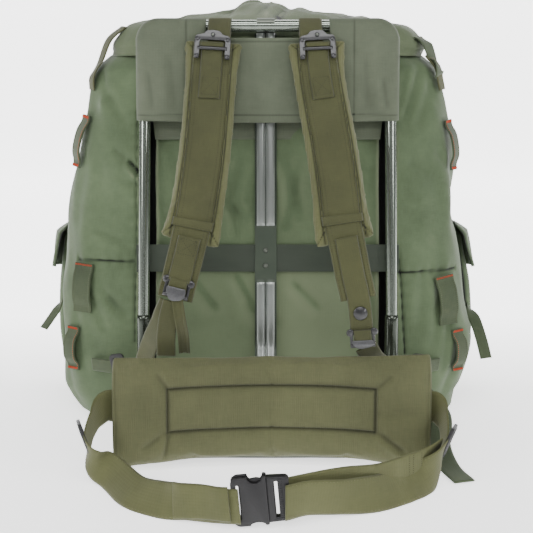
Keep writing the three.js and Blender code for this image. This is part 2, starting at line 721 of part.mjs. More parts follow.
const darkWeb = finish(DARK_WEB, 0.9);
for (const h of HANGERS) put(h.name, hanger(h), darkWeb);

// Straps that hold the lid down on the side away from the wearer
const LID_STRAPS = { lid_strap_right: 75, lid_strap_left: 105 };
for (const [name, degrees] of Object.entries(LID_STRAPS)) {
  const knots = BAG_ROWS.slice(7, 10).map((row) => bagKnot(row.z * BAG_HEIGHT, degrees, WEB / 2 + 3 * GAP));
  knots.unshift(bagKnot(BAG_ROWS[6].z * BAG_HEIGHT, degrees, WEB / 2 + 3 * GAP));
  put(name, sweep(route(knots), () => flat(TAB_WIDTH, WEB), 9), darkWeb);
}

// Free ends of the side straps, which leave the bag in front of the side pockets and hang. start is a share of
// BAG_HEIGHT.
const SIDE_TAILS = [
  { name: 'side_tail_left', degrees: 185, start: 0.2621, away: [[-22, -6, -10], [-37, -30, -38]] },
  { name: 'side_tail_right', degrees: -5, start: 0.25, away: [[16, -8, -16], [30, -22, -46], [38, -34, -68]] },
];
for (const tail of SIDE_TAILS) {
  const root = bagKnot(tail.start * BAG_HEIGHT, tail.degrees, WEB / 2 + 2 * GAP);
  const outward = new THREE.Vector3(tail.degrees > 90 ? -1 : 1, -0.5, 1);
  const knots = [root, ...tail.away.map(([x, y, z]) => ({
    point: root.point.clone().add(new THREE.Vector3(x, y, z)),
    face: outward,
  }))];
  put(tail.name, sweep(route(knots), () => flat(18, WEB), 8), darkWeb);
}

// Shoulder harness. Each side is a table of the middle line from the top bar down: x as a share of FRAME_HALF_LOW,
// z of TOP_BAR_Z and out, how far the front of the sewn webbing strip stands in front of the frame, of HARNESS_OUT.
const HARNESS = {
  left: [
    { x: -0.4097, z: 0.9701, out: 0.2286 },
    { x: -0.4226, z: 0.9082, out: 0.2857 },
    { x: -0.4387, z: 0.8283, out: 0.4095 },
    { x: -0.4613, z: 0.7285, out: 0.5905 },
    { x: -0.4935, z: 0.6387, out: 0.7619 },
    { x: -0.5355, z: 0.5589, out: 0.9048 },
    { x: -0.5806, z: 0.497, out: 0.9714 },
    { x: -0.6258, z: 0.4411, out: 1 },
    { x: -0.671, z: 0.3872, out: 1 },
    { x: -0.6968, z: 0.3513, out: 0.9905 },
  ],
  right: [
    { x: 0.3871, z: 0.9701, out: 0.2286 },
    { x: 0.4, z: 0.9082, out: 0.2857 },
    { x: 0.4355, z: 0.8283, out: 0.4095 },
    { x: 0.4903, z: 0.7285, out: 0.5905 },
    { x: 0.529, z: 0.6387, out: 0.7619 },
    { x: 0.5581, z: 0.5589, out: 0.9048 },
    { x: 0.5968, z: 0.497, out: 0.9714 },
    { x: 0.6323, z: 0.4411, out: 1 },
    { x: 0.671, z: 0.3892, out: 1 },
    { x: 0.6903, z: 0.3433, out: 0.9857 },
    { x: 0.7032, z: 0.2994, out: 0.9619 },
    { x: 0.7097, z: 0.2675, out: 0.9429 },
  ],
};
const STRAP_TOP_Z = 0.972 * TOP_BAR_Z;
const TOP_BUCKLE_Z = TOP_BAR_Z - 25;
const PAD_FOOT_Z = 0.513 * TOP_BAR_Z;
const STRIP_FOOT_Z = 0.3872 * TOP_BAR_Z;
const UPPER_TAB_FOOT_Z = 0.8283 * TOP_BAR_Z;
const LOWER_TAB_TOP_Z = 0.523 * TOP_BAR_Z;
const STUD_Z = 0.3553 * TOP_BAR_Z;
const webPaint = finish(STRIP_GREEN, 0.9);
const black = finish(BLACK, 0.45);

const scaled = (rows) =>
  rows.map((r) => ({ ...r, x: r.x * FRAME_HALF_LOW, z: r.z * TOP_BAR_Z, out: r.out * HARNESS_OUT }));

// The way the strap faces at each row is square to its run in side view
function strapRoute(rows) {
  return route(rows.map((row, i) => {
    const a = rows[Math.max(i - 1, 0)];
    const b = rows[Math.min(i + 1, rows.length - 1)];
    const run = at(b.x, b.z, b.out).sub(at(a.x, a.z, a.out)).normalize();
    const face = new THREE.Vector3().crossVectors(run, RIGHT).normalize();
    if (face.y > 0) face.negate();
    return { point: at(row.x, row.z, row.out), face };
  }));
}

// Strip whose front lies on the route, from height top to height foot
function strapPiece(path, section, steps, top, foot) {
  return sweep(path, section, steps, shareAt(path, top), shareAt(path, foot));
}

// Puts a flat part on the strap's front at height z, standing off it by lift
function onStrap(path, geometry, z, lift) {
  const { place, across, outward } = path(shareAt(path, z));
  const right = across.x < 0 ? across.clone().negate() : across;
  return seat(geometry, place.clone().addScaledVector(outward, lift), right, outward);
}

// Webbing folded over the top bar. Its front leaf runs down to the buckle and its back leaf ends behind that.
function topLoop(x) {
  const r = TUBE_R + 2 * GAP + WEB / 2;
  const round = [45, 67, 90, 125, 160, 195, 230, 265].map((degrees) => {
    const [fo, fz] = [Math.cos(degrees * DEG), Math.sin(degrees * DEG)];
    return { x, z: TOP_BAR_Z + r * fz, out: r * fo, fo, fz };
  });
  const rows = [
    { x, z: TOP_BAR_Z - 25, out: 28, fo: 1, fz: 0.2 },
    { x, z: TOP_BAR_Z - 15, out: 26, fo: 1, fz: 0.5 },
    { x, z: TOP_BAR_Z - 6, out: 18.6, fo: 1, fz: 1 },
    ...round,
    { x, z: TOP_BAR_Z - r - 0.3, out: 8, fo: 0, fz: -1 },
    { x, z: TOP_BAR_Z - r - 3, out: 16, fo: -0.4, fz: -1 },
  ];
  return webbing(rows, LOOP_WIDTH, 26);
}

// Strap buckle: a black plate with a domed tab, two slots and a bar between them
function strapBuckle(width, height) {
  const shape = new THREE.Shape();
  const w = width / 2;
  const h = height / 2;
  shape.moveTo(-w, -h);
  shape.lineTo(w, -h);
  shape.lineTo(w, h * 0.35);
  shape.lineTo(w * 0.5, h * 0.5);
  shape.absarc(0, h * 0.55, w * 0.42, 0, Math.PI, false);
  shape.lineTo(-w * 0.5, h * 0.5);
  shape.lineTo(-w, h * 0.35);
  const slot = (y) => new THREE.Path(clipped(width * 0.7, height * 0.16, 1, 0, y));
  shape.holes.push(slot(-h * 0.62), slot(h * 0.02));
  return plate(shape, BUCKLE_THICK);
}

// How far a flat buckle stands off the curved strip under its middle
const BOWED = 1.5;
const ON_STRIP = GAP + WEB / 2;
const ON_TAB = WEB + 2 * GAP + BUCKLE_THICK / 2;
// The lower ends of the two sides: tabFoot and buckleZ are shares of TOP_BAR_Z
const HARNESS_PARTS = {
  left: { loop: -56.5, tabFoot: 0.4511, buckleZ: 0.4152, buckleHeight: 36, onTab: 0 },
  right: { loop: 53, tabFoot: 0.3134, buckleZ: 0.2974, buckleHeight: 25, onTab: 1 },
};
const paths = {};
for (const [side, rows] of Object.entries(HARNESS)) {
  const path = strapRoute(scaled(rows));
  paths[side] = path;
  const parts = HARNESS_PARTS[side];
  const behind = -(WEB + GAP + PAD_THICK / 2);
  const padSection = (t) => padded(PAD_WIDTH, PAD_THICK * (t < 0.02 || t > 0.98 ? 0.6 : 1), behind);
  const stripSection = (t) => flat(STRIP_WIDTH * (1 - 0.12 * t), WEB, -WEB / 2);
  const tabSection = () => flat(TAB_WIDTH, WEB, ON_STRIP);
  put(`shoulder_pad_${side}`, strapPiece(path, padSection, 16, STRAP_TOP_Z, PAD_FOOT_Z), finish(PAD_GREEN, 0.95));
  put(`pad_strip_${side}`, strapPiece(path, stripSection, 20, STRAP_TOP_Z, STRIP_FOOT_Z), webPaint);
  put(`top_loop_${side}`, topLoop(parts.loop), webPaint);
  const topBuckle = strapBuckle(BUCKLE_WIDTH, BUCKLE_HEIGHT);
  put(`top_buckle_${side}`, onStrap(path, topBuckle, TOP_BUCKLE_Z, WEB + 2 * GAP + BOWED + BUCKLE_THICK / 2), black);
  put(`upper_tab_${side}`, strapPiece(path, tabSection, 4, TOP_BUCKLE_Z - 14, UPPER_TAB_FOOT_Z), webPaint);
  const tabFoot = parts.tabFoot * TOP_BAR_Z;
  put(`lower_tab_${side}`, strapPiece(path, tabSection, 8, LOWER_TAB_TOP_Z, tabFoot), webPaint);
  const lowerBuckle = strapBuckle(32, parts.buckleHeight);
  const lift = parts.onTab ? ON_TAB : GAP + BUCKLE_THICK / 2;
  put(`lower_buckle_${side}`, onStrap(path, lowerBuckle, parts.buckleZ * TOP_BAR_Z, lift), black);
}

// Press stud on the right lower tab
const studProfile = [[0, 0], [8, 0], [8, 1.5], [6.5, 3], [0, 3.4]].map(([r, h]) => new THREE.Vector2(r, h));
const stud = new THREE.LatheGeometry(studProfile, 12).rotateX(Math.PI / 2);
put('press_stud', onStrap(paths.right, stud, STUD_Z, WEB + 2 * GAP), black);

// Webbing from the lower buckles to the frame's foot, behind the kidney pad
const ANCHORS = {
  left: [
    { x: -0.7032, z: 0.3782, out: 0.9924 }, { x: -0.7871, z: 0.3114, out: 0.8095 }, { x: -0.9161, z: 0.2236, out: 0.4286 },
    { x: -0.9871, z: 0.1637, out: 0.1667, fo: 1, fz: 0.3 },
  ],
  right: [
    { x: 0.7323, z: 0.2774, out: 0.9619 }, { x: 0.8, z: 0.2395, out: 0.8 }, { x: 0.9355, z: 0.1916, out: 0.419 },
    { x: 1.0065, z: 0.1637, out: 0.1771, fo: 1, fz: 0.3 },
  ],
};
for (const [side, rows] of Object.entries(ANCHORS)) {
  put(`anchor_strap_${side}`, webbing(scaled(rows), TAB_WIDTH), webPaint);
}

const PULL_TAB = [
  { x: -0.6516, z: 0.3952, out: 1.0571 }, { x: -0.6323, z: 0.3473, out: 1.0286 }, { x: -0.6194, z: 0.2914, out: 0.8381 },
  { x: -0.6194, z: 0.2475, out: 0.7048 },
];
put('pull_tab', webbing(scaled(PULL_TAB), 13), webPaint);

// Kidney pad: a padded board across the frame's foot whose ends curve to the wearer.
// x is a share of its half width, low and high of its height, out of its depth in front of the frame.
const KIDNEY_ROWS = [
  { x: -1, low: 0.03, high: 0.97, out: 1 },
  { x: -0.75, low: 0.03, high: 0.965, out: 0.925 },
  { x: -0.4, low: 0.03, high: 0.95, out: 0.82 },
  { x: 0, low: 0.03, high: 0.945, out: KIDNEY_MIDDLE },
  { x: 0.4, low: 0.03, high: 0.96, out: 0.82 },
  { x: 0.75, low: 0.03, high: 0.985, out: 0.925 },
  { x: 1, low: 0.03, high: 1, out: 1 },
];

function kidneyPad() {
  const knots = KIDNEY_ROWS.map((row) => at(row.x * KIDNEY_HALF_WIDTH, 0, row.out * KIDNEY_OUT));
  const rings = KIDNEY_ROWS.map((row, i) => {
    const a = knots[Math.max(i - 1, 0)];
    const b = knots[Math.min(i + 1, knots.length - 1)];
    const run = b.clone().sub(a).setZ(0).normalize();
    const face = new THREE.Vector3(run.y, -run.x, 0);
    const [low, high] = [row.low * KIDNEY_HEIGHT, row.high * KIDNEY_HEIGHT];
    const end = Math.abs(row.x) === 1 ? 0.55 : 1;
    return padded(high - low, KIDNEY_THICK * end).map(([u, v]) => {
      const z = (low + high) / 2 + u;
      return at(KIDNEY_X + row.x * KIDNEY_HALF_WIDTH, z, row.out * KIDNEY_OUT).addScaledVector(face, v);
    });
  });
  return loft(rings);
}

put('kidney_pad', kidneyPad(), finish(KIDNEY_GREEN, 0.95));

// Waist belt: webbing on edge on the floor. Rows hold its middle line, x as a share of KIDNEY_HALF_WIDTH,
// y of BELT_REACH and z of BELT_TOP_Z, and fx, fy and fz, the way it faces.
const CLASP = { x: -0.0304 * KIDNEY_HALF_WIDTH, y: -BELT_REACH, z: 30 };
const claspEnd = (side) => (CLASP.x + side * CLASP_LENGTH / 2) / KIDNEY_HALF_WIDTH;
const beltKnots = (rows) =>
  rows.map(({ x, y, z, fx = 0, fy = -1, fz = 0 }) => ({
    point: new THREE.Vector3(x * KIDNEY_HALF_WIDTH, y * BELT_REACH, z * BELT_TOP_Z),
    face: new THREE.Vector3(fx, fy, fz),
  }));
const BELT_LEFT = [
  { x: -0.9834, y: -0.6723, z: 1, fx: 0.1, fy: -1 },
  { x: -1.0497, y: -0.6748, z: 0.987, fx: -0.2, fy: -1 },
  { x: -1.1381, y: -0.7063, z: 0.7532, fx: -1, fy: -0.4, fz: 0.2 },
  { x: -1.105, y: -0.7524, z: 0.4026, fx: -1, fy: -0.7, fz: 0.2 },
  { x: -0.9724, y: -0.8131, z: 0.2987, fx: -0.8, fy: -1, fz: 0.1 },
  { x: -0.7459, y: -0.8883, z: 0.2727, fx: -0.5, fy: -1 },
  { x: -0.4972, y: -0.9612, z: 0.2727, fx: -0.3, fy: -1 },
  { x: claspEnd(-1) - 0.0083, y: -0.9976, z: 0.3117, fx: -0.1, fy: -1 },
];
const BELT_RIGHT = [
  { x: claspEnd(1) + 0.0138, y: -0.9976, z: 0.3247, fx: 0.1, fy: -1 },
  { x: 0.3315, y: -0.9806, z: 0.2857, fx: 0.15, fy: -1 },
  { x: 0.5525, y: -0.9369, z: 0.2727, fx: 0.4, fy: -1 },
  { x: 0.7735, y: -0.8641, z: 0.2727, fx: 0.6, fy: -1 },
  { x: 0.9724, y: -0.7816, z: 0.2987, fx: 0.8, fy: -1 },
  { x: 1.0994, y: -0.7209, z: 0.4675, fx: 1, fy: -0.4, fz: 0.2 },
  { x: 1.1326, y: -0.6942, z: 0.7792, fx: 1, fy: -0.4, fz: 0.2 },
  { x: 1.105, y: -0.6748, z: 0.961, fx: 0.3, fy: -1 },
  { x: 1.0691, y: -0.6723, z: 0.987, fx: -0.1, fy: -1 },
];
const beltPaint = finish(BELT_GREEN, 0.9);
const beltLeft = route(beltKnots(BELT_LEFT));
const beltRight = route(beltKnots(BELT_RIGHT));
put('waist_belt_left', sweep(beltLeft, () => flat(BELT_WIDTH, WEB), 20), beltPaint);
put('waist_belt_right', sweep(beltRight, () => flat(BELT_WIDTH, WEB), 20), beltPaint);

// Sliders: flat three-bar plates on the belt
function slider() {
  const shape = new THREE.Shape(clipped(SLIDER_WIDTH, SLIDER_HEIGHT, 4));
  for (const s of [-1, 1]) {
    shape.holes.push(new THREE.Path(clipped(SLIDER_WIDTH * 0.26, BELT_WIDTH + 2, 1, s * SLIDER_WIDTH * 0.22, 0)));
  }
  return plate(shape, BUCKLE_THICK);
}

put('belt_slider_left', alongWeb(beltLeft, slider(), 0.33), black);
put('belt_slider_right', alongWeb(beltRight, slider(), 0.7), black);

// Side-release clasp: a hollow socket and a forked tongue that stands in it
function socket() {
  const [half, tall, thick] = [CLASP_LENGTH / 2, CLASP_HEIGHT / 2, CLASP_THICK / 2];
  const body = plate(new THREE.Shape(clipped(CLASP_LENGTH * 0.62, CLASP_HEIGHT, 6)), CLASP_THICK)
    .translate(-half + CLASP_LENGTH * 0.31, 0, 0);
  const right = -half + CLASP_LENGTH * 0.62;
  const mouth = block(-half * 0.35, right + 1, -tall * 0.8, tall * 0.8, -thick * 0.55, thick * 0.55);
  const window = block(-half * 0.25, right - 5, -tall - 1, tall + 1, -thick * 0.5, thick * 0.5);
  const slot = block(-half * 0.8, -half * 0.55, -BELT_WIDTH / 2 - 2, BELT_WIDTH / 2 + 2, -thick - 1, thick + 1);
  return minus(body, mouth, window, slot);
}

function tongue() {
  const [half, tall, thick] = [CLASP_LENGTH / 2, CLASP_HEIGHT / 2, CLASP_THICK / 2];
  const left = -half + CLASP_LENGTH * 0.62 + GAP;
  const base = block(left, half, -tall * 0.85, tall * 0.85, -thick * 0.8, thick * 0.8);
  const slot = block(left + 7, half - 4, -BELT_WIDTH / 2 - 1, BELT_WIDTH / 2 + 1, -thick, thick);
  const arm = (s) => block(-half * 0.2, left + 1, s > 0 ? tall * 0.45 : -tall * 0.74, s > 0 ? tall * 0.74 : -tall * 0.45,
    -thick * 0.45, thick * 0.45);
  return plus(minus(base, slot), arm(1), arm(-1));
}

const claspAt = new THREE.Vector3(CLASP.x, CLASP.y, CLASP.z);
put('buckle_socket', seat(socket(), claspAt, RIGHT, WEARER), black);
put('buckle_tongue', seat(tongue(), claspAt, RIGHT, WEARER), black);

// Straps that tie the bag's foot to the frame's sleeves, each with a buckle, and a free end at the right
const ANCHOR_FOOT_Z = 78;
for (const [side, sign] of [['left', -1], ['right', 1]]) {
  const tubeX = FRAME_X + sign * (FRAME_HALF_LOW + LOWER_TUBE_R);
  const rows = [
    { x: tubeX, z: 88, out: 3, fx: sign * 0.6 },
    { x: tubeX + sign * 14, z: 86, out: 1, fx: sign * 0.2 },
    { x: tubeX + sign * 34, z: 82, out: -7, fx: sign * 0.35 },
  ];
  const onSkin = bagKnot(ANCHOR_FOOT_Z, sign < 0 ? 228 : 312, WEB + 2 * GAP);
  const path = route([...webKnots(rows), onSkin]);
  put(`bag_anchor_${side}`, sweep(path, () => flat(TAB_WIDTH, WEB), 9), darkWeb);
  const buckle = new THREE.Shape(clipped(20, TAB_WIDTH + 8, 3));
  buckle.holes.push(new THREE.Path(clipped(8, TAB_WIDTH - 2, 1)));
  put(`bag_anchor_buckle_${side}`, alongWeb(path, plate(buckle, BUCKLE_THICK), 0.48), black);
}

const FLOOR_TAIL = [
  { x: 1.0552, y: -0.3823, z: 0.839, fx: 0.3, fy: -1, fz: 0.1 },
  { x: 1.0829, y: -0.3981, z: 0.7013, fx: 0.3, fy: -1, fz: 0.5 },
  { x: 1.1768, y: -0.4757, z: 0.4805, fx: 0.2, fy: -0.6, fz: 1 },
  { x: 1.1989, y: -0.5777, z: 0.1818, fx: 0, fy: -0.4, fz: 1 },
  { x: 1.1989, y: -0.6675, z: 0.039, fx: 0, fy: 0, fz: 1 },
  { x: 1.1547, y: -0.7573, z: 0.026, fx: 0, fy: 0, fz: 1 },
];
put('floor_tail_right', sweep(route(beltKnots(FLOOR_TAIL)), () => flat(TAB_WIDTH, WEB), 12), darkWeb);

export default pack;
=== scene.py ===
"""Looks of an external frame rucksack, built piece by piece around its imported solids."""
import math

import bmesh
import bpy
import numpy as np
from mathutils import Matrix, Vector


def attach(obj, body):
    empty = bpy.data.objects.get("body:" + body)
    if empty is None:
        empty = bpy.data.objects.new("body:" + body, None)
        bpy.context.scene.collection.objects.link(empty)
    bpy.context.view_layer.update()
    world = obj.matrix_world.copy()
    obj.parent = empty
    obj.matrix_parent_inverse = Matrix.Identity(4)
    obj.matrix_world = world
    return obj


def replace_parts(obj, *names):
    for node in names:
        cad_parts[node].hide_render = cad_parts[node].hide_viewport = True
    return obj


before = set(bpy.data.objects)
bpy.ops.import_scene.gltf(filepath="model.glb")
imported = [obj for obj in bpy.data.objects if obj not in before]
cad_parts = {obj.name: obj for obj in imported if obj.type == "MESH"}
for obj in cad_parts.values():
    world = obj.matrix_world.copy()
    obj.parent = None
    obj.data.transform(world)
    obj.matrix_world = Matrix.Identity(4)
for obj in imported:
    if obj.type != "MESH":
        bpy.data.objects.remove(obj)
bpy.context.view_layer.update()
MM = 0.001

# Camera and studio. The rucksack stands on a pale floor that curves up behind it, seen from the wearer's side
# and a little from above. Two tall soft lights at the front corners draw the paired streaks on the tubes.
CAMERA_PLACE = (0, -1.250, 0.43933)
CAMERA_PITCH = math.radians(11.72)
CAMERA_LENS = 61.5
camera_data = bpy.data.cameras.new("camera")
camera_data.lens = CAMERA_LENS
camera_data.sensor_width = 36


def placed(name, data):
    """A new object of the data, linked to the scene."""
    thing = bpy.data.objects.new(name, data)
    bpy.context.scene.collection.objects.link(thing)
    return thing


camera = placed("camera", camera_data)
camera.location = CAMERA_PLACE
camera.rotation_euler = (math.pi / 2 - CAMERA_PITCH, 0, 0)
bpy.context.scene.camera = camera


def soft_light(name, place, aim, size, power):
    """A rectangular area light at place, turned to aim."""
    data = bpy.data.lights.new(name, "AREA")
    data.shape = "RECTANGLE"
    data.size, data.size_y = size
    data.energy = power
    lamp = placed(name, data)
    lamp.location = place
    lamp.rotation_euler = (Vector(aim) - Vector(place)).to_track_quat("-Z", "Z").to_euler()


soft_light("left_box", (-1.7, -1.35, 1.0), (0, -0.1, 0.25), (0.35, 1.5), 21)
soft_light("right_box", (1.7, -1.35, 1.0), (0, -0.1, 0.25), (0.35, 1.5), 19)
soft_light("top_box", (0, -0.9, 2.0), (0, -0.1, 0.2), (1.4, 0.6), 15)
soft_light("front_box", (0, -1.7, 1.35), (0, -0.1, 0.2), (1.5, 0.4), 13)
world = bpy.data.worlds.new("studio")
world.use_nodes = True
sky = world.node_tree.nodes["Background"].inputs
sky["Color"].default_value = (1, 1, 1, 1)
sky["Strength"].default_value = 0.16
bpy.context.scene.world = world


def linear(r, g, b):
    """A screen colour of 0 to 255 in linear light."""
    return tuple((c / 255 / 12.92) if c < 11 else ((c / 255 + 0.055) / 1.055) ** 2.4 for c in (r, g, b))


def mark_folds(piece, share):
    """Keeps on each point how far it stands out of its surroundings, 0 in a groove and 1 on a ridge."""
    layer = piece.data.attributes.new("fold", "FLOAT", "POINT")
    layer.data.foreach_set("value", np.clip(share, 0, 1).astype(np.float32).ravel())


def surface(name, grid, round_rows=False, round_cols=False, caps=(), keep=None, folds=None):
    """A mesh from a grid of points in millimetres, one quad a cell, with the fold marks of the points if given.

    round_rows and round_cols join the last row or column to the first. caps names the end rows, "first" and
    "last", that are closed by a fan about their mean. keep is a mask of the cells that stay. The UV map runs in
    metres along the middle row and the middle column. A closed mesh is turned to face out by its volume.
    """
    rows, cols = grid.shape[:2]
    i = np.arange(rows if round_rows else rows - 1)
    j = np.arange(cols if round_cols else cols - 1)
    ii, jj = (a.ravel() for a in np.meshgrid(i, j, indexing="ij"))
    if keep is not None:
        chosen = keep.ravel()
        ii, jj = ii[chosen], jj[chosen]
    inext, jnext = (ii + 1) % rows, (jj + 1) % cols
    quads = np.stack([ii * cols + jj, ii * cols + jnext, inext * cols + jnext, inext * cols + jj], 1)
    u, v = (np.concatenate([[0],
                            np.cumsum(np.linalg.norm(np.diff(np.vstack([line, line[:1]]), axis=0), axis=1))])
            * MM for line in (grid[rows // 2], grid[:, cols // 2]))
    corners = np.stack([u[jj], v[ii], u[jj + 1], v[ii], u[jj + 1], v[ii + 1], u[jj], v[ii + 1]],
                       1).reshape(-1, 2)
    points = grid.reshape(-1, 3)
    fans = []
    for end in caps:
        row = 0 if end == "first" else rows - 1
        hub = len(points)
        points = np.vstack([points, grid[row].mean(0)[None]])
        k = np.arange(cols)
        edge = np.stack([row * cols + k, row * cols + (k + 1) % cols], 1)
        if end == "first":
            edge = edge[:, ::-1]
        fans.append(np.column_stack([edge, np.full(cols, hub)]))
    tris = np.vstack(fans) if fans else np.zeros((0, 3), int)
    if caps or (round_rows and round_cols):
        both = np.vstack([tris, quads[:, [0, 1, 2]], quads[:, [0, 2, 3]]])
        a, b, c = points[both[:, 0]], points[both[:, 1]], points[both[:, 2]]
        if np.einsum("ij,ij->i", a, np.cross(b, c)).sum() < 0:
            quads = quads[:, ::-1]
            corners = corners.reshape(-1, 4, 2)[:, ::-1].reshape(-1, 2)
            tris = tris[:, ::-1]
    mesh = bpy.data.meshes.new(name)
    mesh.vertices.add(len(points))
    mesh.vertices.foreach_set("co", (points * MM).astype(np.float32).ravel())
    loops = np.concatenate([quads.ravel(), tris.ravel()]).astype(np.int32)
    mesh.loops.add(len(loops))
    mesh.loops.foreach_set("vertex_index", loops)
    totals = np.concatenate([np.full(len(quads), 4), np.full(len(tris), 3)]).astype(np.int32)
    mesh.polygons.add(len(totals))
    mesh.polygons.foreach_set("loop_start", np.concatenate([[0], np.cumsum(totals)[:-1]]).astype(np.int32))
    mesh.polygons.foreach_set("loop_total", totals)
    layer = mesh.uv_layers.new(name="UVMap")
    corners = np.vstack([corners, np.zeros((len(tris) * 3, 2))])
    layer.data.foreach_set("uv", corners.astype(np.float32).ravel())
    mesh.update(calc_edges=True)
    mesh.validate()
    mesh.shade_smooth()
    piece = placed(name, mesh)
    if folds is not None:
        mark_folds(piece,
                   np.concatenate([np.ravel(folds), np.full(len(mesh.vertices) - np.size(folds), 0.5)]))
    return piece


# The floor is one sheet: flat under the rucksack, then a quarter round and a wall behind it.
SWEEP_RADIUS, SWEEP_END = 1400, 4000
turn = np.linspace(0, math.pi / 2, 12)
sweep_y = np.concatenate([[-6000], SWEEP_END - SWEEP_RADIUS + SWEEP_RADIUS * np.sin(turn), [SWEEP_END]])
sweep_z = np.concatenate([[0], SWEEP_RADIUS * (1 - np.cos(turn)), [5200]])
floor_x = np.array([-7000, 7000])
floor = surface("floor", np.stack(np.broadcast_arrays(floor_x[None], sweep_y[:, None], sweep_z[:, None]), -1))


class Flow:
    """One socket of a shader. Sums, differences and products of such sockets and numbers add Math nodes."""

    def __init__(self, tree, socket):
        self.tree, self.socket = tree, socket

    def math(self, operation, other=0.0, swapped=False):
        node = self.tree.nodes.new("ShaderNodeMath")
        node.operation = operation
        for place, value in zip(node.inputs, (other, self) if swapped else (self, other)):
            if isinstance(value, Flow):
                self.tree.links.new(value.socket, place)
            else:
                place.default_value = value
        return Flow(self.tree, node.outputs[0])

    def __add__(self, other):
        return self.math("ADD", other)

    def __sub__(self, other):
        return self.math("SUBTRACT", other)

    def __rsub__(self, other):
        return self.math("SUBTRACT", other, True)

    def __mul__(self, other):
        return self.math("MULTIPLY", other)

    __radd__, __rmul__ = __add__, __mul__

    def clipped(self):
        return self.math("MAXIMUM", 0.0).math("MINIMUM", 1.0)


class Finish:
    """A material with one Principled shader. add() makes any other node of its tree."""

    def __init__(self, name, **constants):
        self.material = bpy.data.materials.new(name)
        self.material.use_nodes = True
        self.tree = self.material.node_tree
        self.shader = self.tree.nodes["Principled BSDF"]
        for socket, value in constants.items():
            self.shader.inputs[socket.replace("_", " ")].default_value = value

    def add(self, kind, settings=(), values=(), out=0):
        node = self.tree.nodes.new("ShaderNode" + kind)
        for key, value in dict(settings).items():
            setattr(node, key, value)
        for key, value in dict(values).items():
            if isinstance(value, Flow):
                self.tree.links.new(value.socket, node.inputs[key])
            else:
                node.inputs[key].default_value = value
        return Flow(self.tree, node.outputs[out])

    def coords(self, which="Object", scale=(1, 1, 1)):
        where = self.add("TexCoord", out=which)
        return self.add("Mapping", values={"Vector": where, "Scale": scale})

    def noise(self, where, scale, detail=4, rough=0.55):
        return self.add("TexNoise",
                        values={"Vector": where, "Scale": scale, "Detail": detail, "Roughness": rough})

    def blend(self, share, first, second):
        """The colour on the way from first to second."""
        colours = {6: first if isinstance(first, Flow) else (*first, 1),
                   7: second if isinstance(second, Flow) else (*second, 1)}
        return self.add("Mix", {"data_type": "RGBA"}, {0: share, **colours}, 2)

    def feed(self, socket, flow):
        self.tree.links.new(flow.socket, self.shader.inputs[socket])

    def colour(self, share, first, second):
        """Feeds the base colour with the colour on the way from first to second."""
        self.feed("Base Color", self.blend(share, first, second))

    def waves(self, way, where, scale):
        return self.add("TexWave", {"wave_type": "BANDS", "bands_direction": way},
                        {"Vector": where, "Scale": scale})

    def relief(self, height, distance, strength=1.0):
        self.feed("Normal",
                  self.add("Bump", values={"Height": height, "Distance": distance, "Strength": strength}))


pale = Finish("pale_floor", Roughness=0.9)
speck = pale.noise(pale.coords(), 3.0)
pale.colour(speck, (0.9, 0.9, 0.9), (0.93, 0.93, 0.93))
place_y = pale.add("SeparateXYZ", values={0: pale.coords()}, out=1)
glow = ((place_y + 0.75) * 3).clipped() * 0.45 + (place_y * 2.5).clipped() * 0.55
pale.feed("Emission Color", pale.blend(glow, (0, 0, 0), (1, 1, 1)))
pale.shader.inputs["Emission Strength"].default_value = 3.2
floor.data.materials.append(pale.material)

# Frame. Two bent aluminium tubes, the upper one standing in the mouths of the lower, both sprayed semi-gloss
# green. A pressed stay with two ribs joins their middles, and a flat bar runs behind it from tube to tube.
LEAN = math.radians(7)
FOOT_Y = -166
TUBE_R, LOWER_TUBE_R = 7, 8.5
FRAME_X, FRAME_HALF_TOP, FRAME_HALF_LOW = 1.5, 149, 155
TOP_BAR_Z, CORNER_R, SOCKET_TOP_Z = 501, 42, 149
BOW_OUT = 121 * 0.775 - 13 / 2 - LOWER_TUBE_R - 0.3


def at(x, z, out=0.0):
    """Points by their place across, height and distance out of the frame's leaning plane to the wearer."""
    x, z, out = np.broadcast_arrays(*(np.asarray(v, float) for v in (x, z, out)))
    return np.stack([x, FOOT_Y + z * math.tan(LEAN) - out / math.cos(LEAN), z], -1)


def unit(v):
    return v / np.maximum(np.linalg.norm(v, axis=-1, keepdims=True), 1e-9)


def route(points, faces, shares):
    """A centripetal spline through points, as place, tangent, across and outward at shares of its knots.

    outward is the face at the knots, straight between them and turned square to the tangent.
    """
    p, f = np.asarray(points, float), np.asarray(faces, float)
    spans = len(p) - 1
    t = np.asarray(shares, float) * spans
    k = np.clip(t.astype(int), 0, spans - 1)
    w = (t - k)[:, None]
    q = np.vstack([2 * p[0] - p[1], p, 2 * p[-1] - p[-2]])
    a, b, c, d = q[k], q[k + 1], q[k + 2], q[k + 3]
    d0, d1, d2 = (np.linalg.norm(m - n, axis=1, keepdims=True) ** 0.5 for m, n in ((b, a), (c, b), (d, c)))
    leave = ((b - a) / d0 - (c - a) / (d0 + d1) + (c - b) / d1) * d1
    arrive = ((c - b) / d1 - (d - b) / (d1 + d2) + (d - c) / d2) * d1
    bend2 = -3 * b + 3 * c - 2 * leave - arrive
    bend3 = 2 * b - 2 * c + leave + arrive
    place = b + leave * w + bend2 * w ** 2 + bend3 * w ** 3
    tangent = unit(leave + 2 * bend2 * w + 3 * bend3 * w ** 2)
    facing = f[k] * (1 - w) + f[k + 1] * w
    across = unit(np.cross(facing, tangent))
    return place, tangent, across, np.cross(tangent, across)


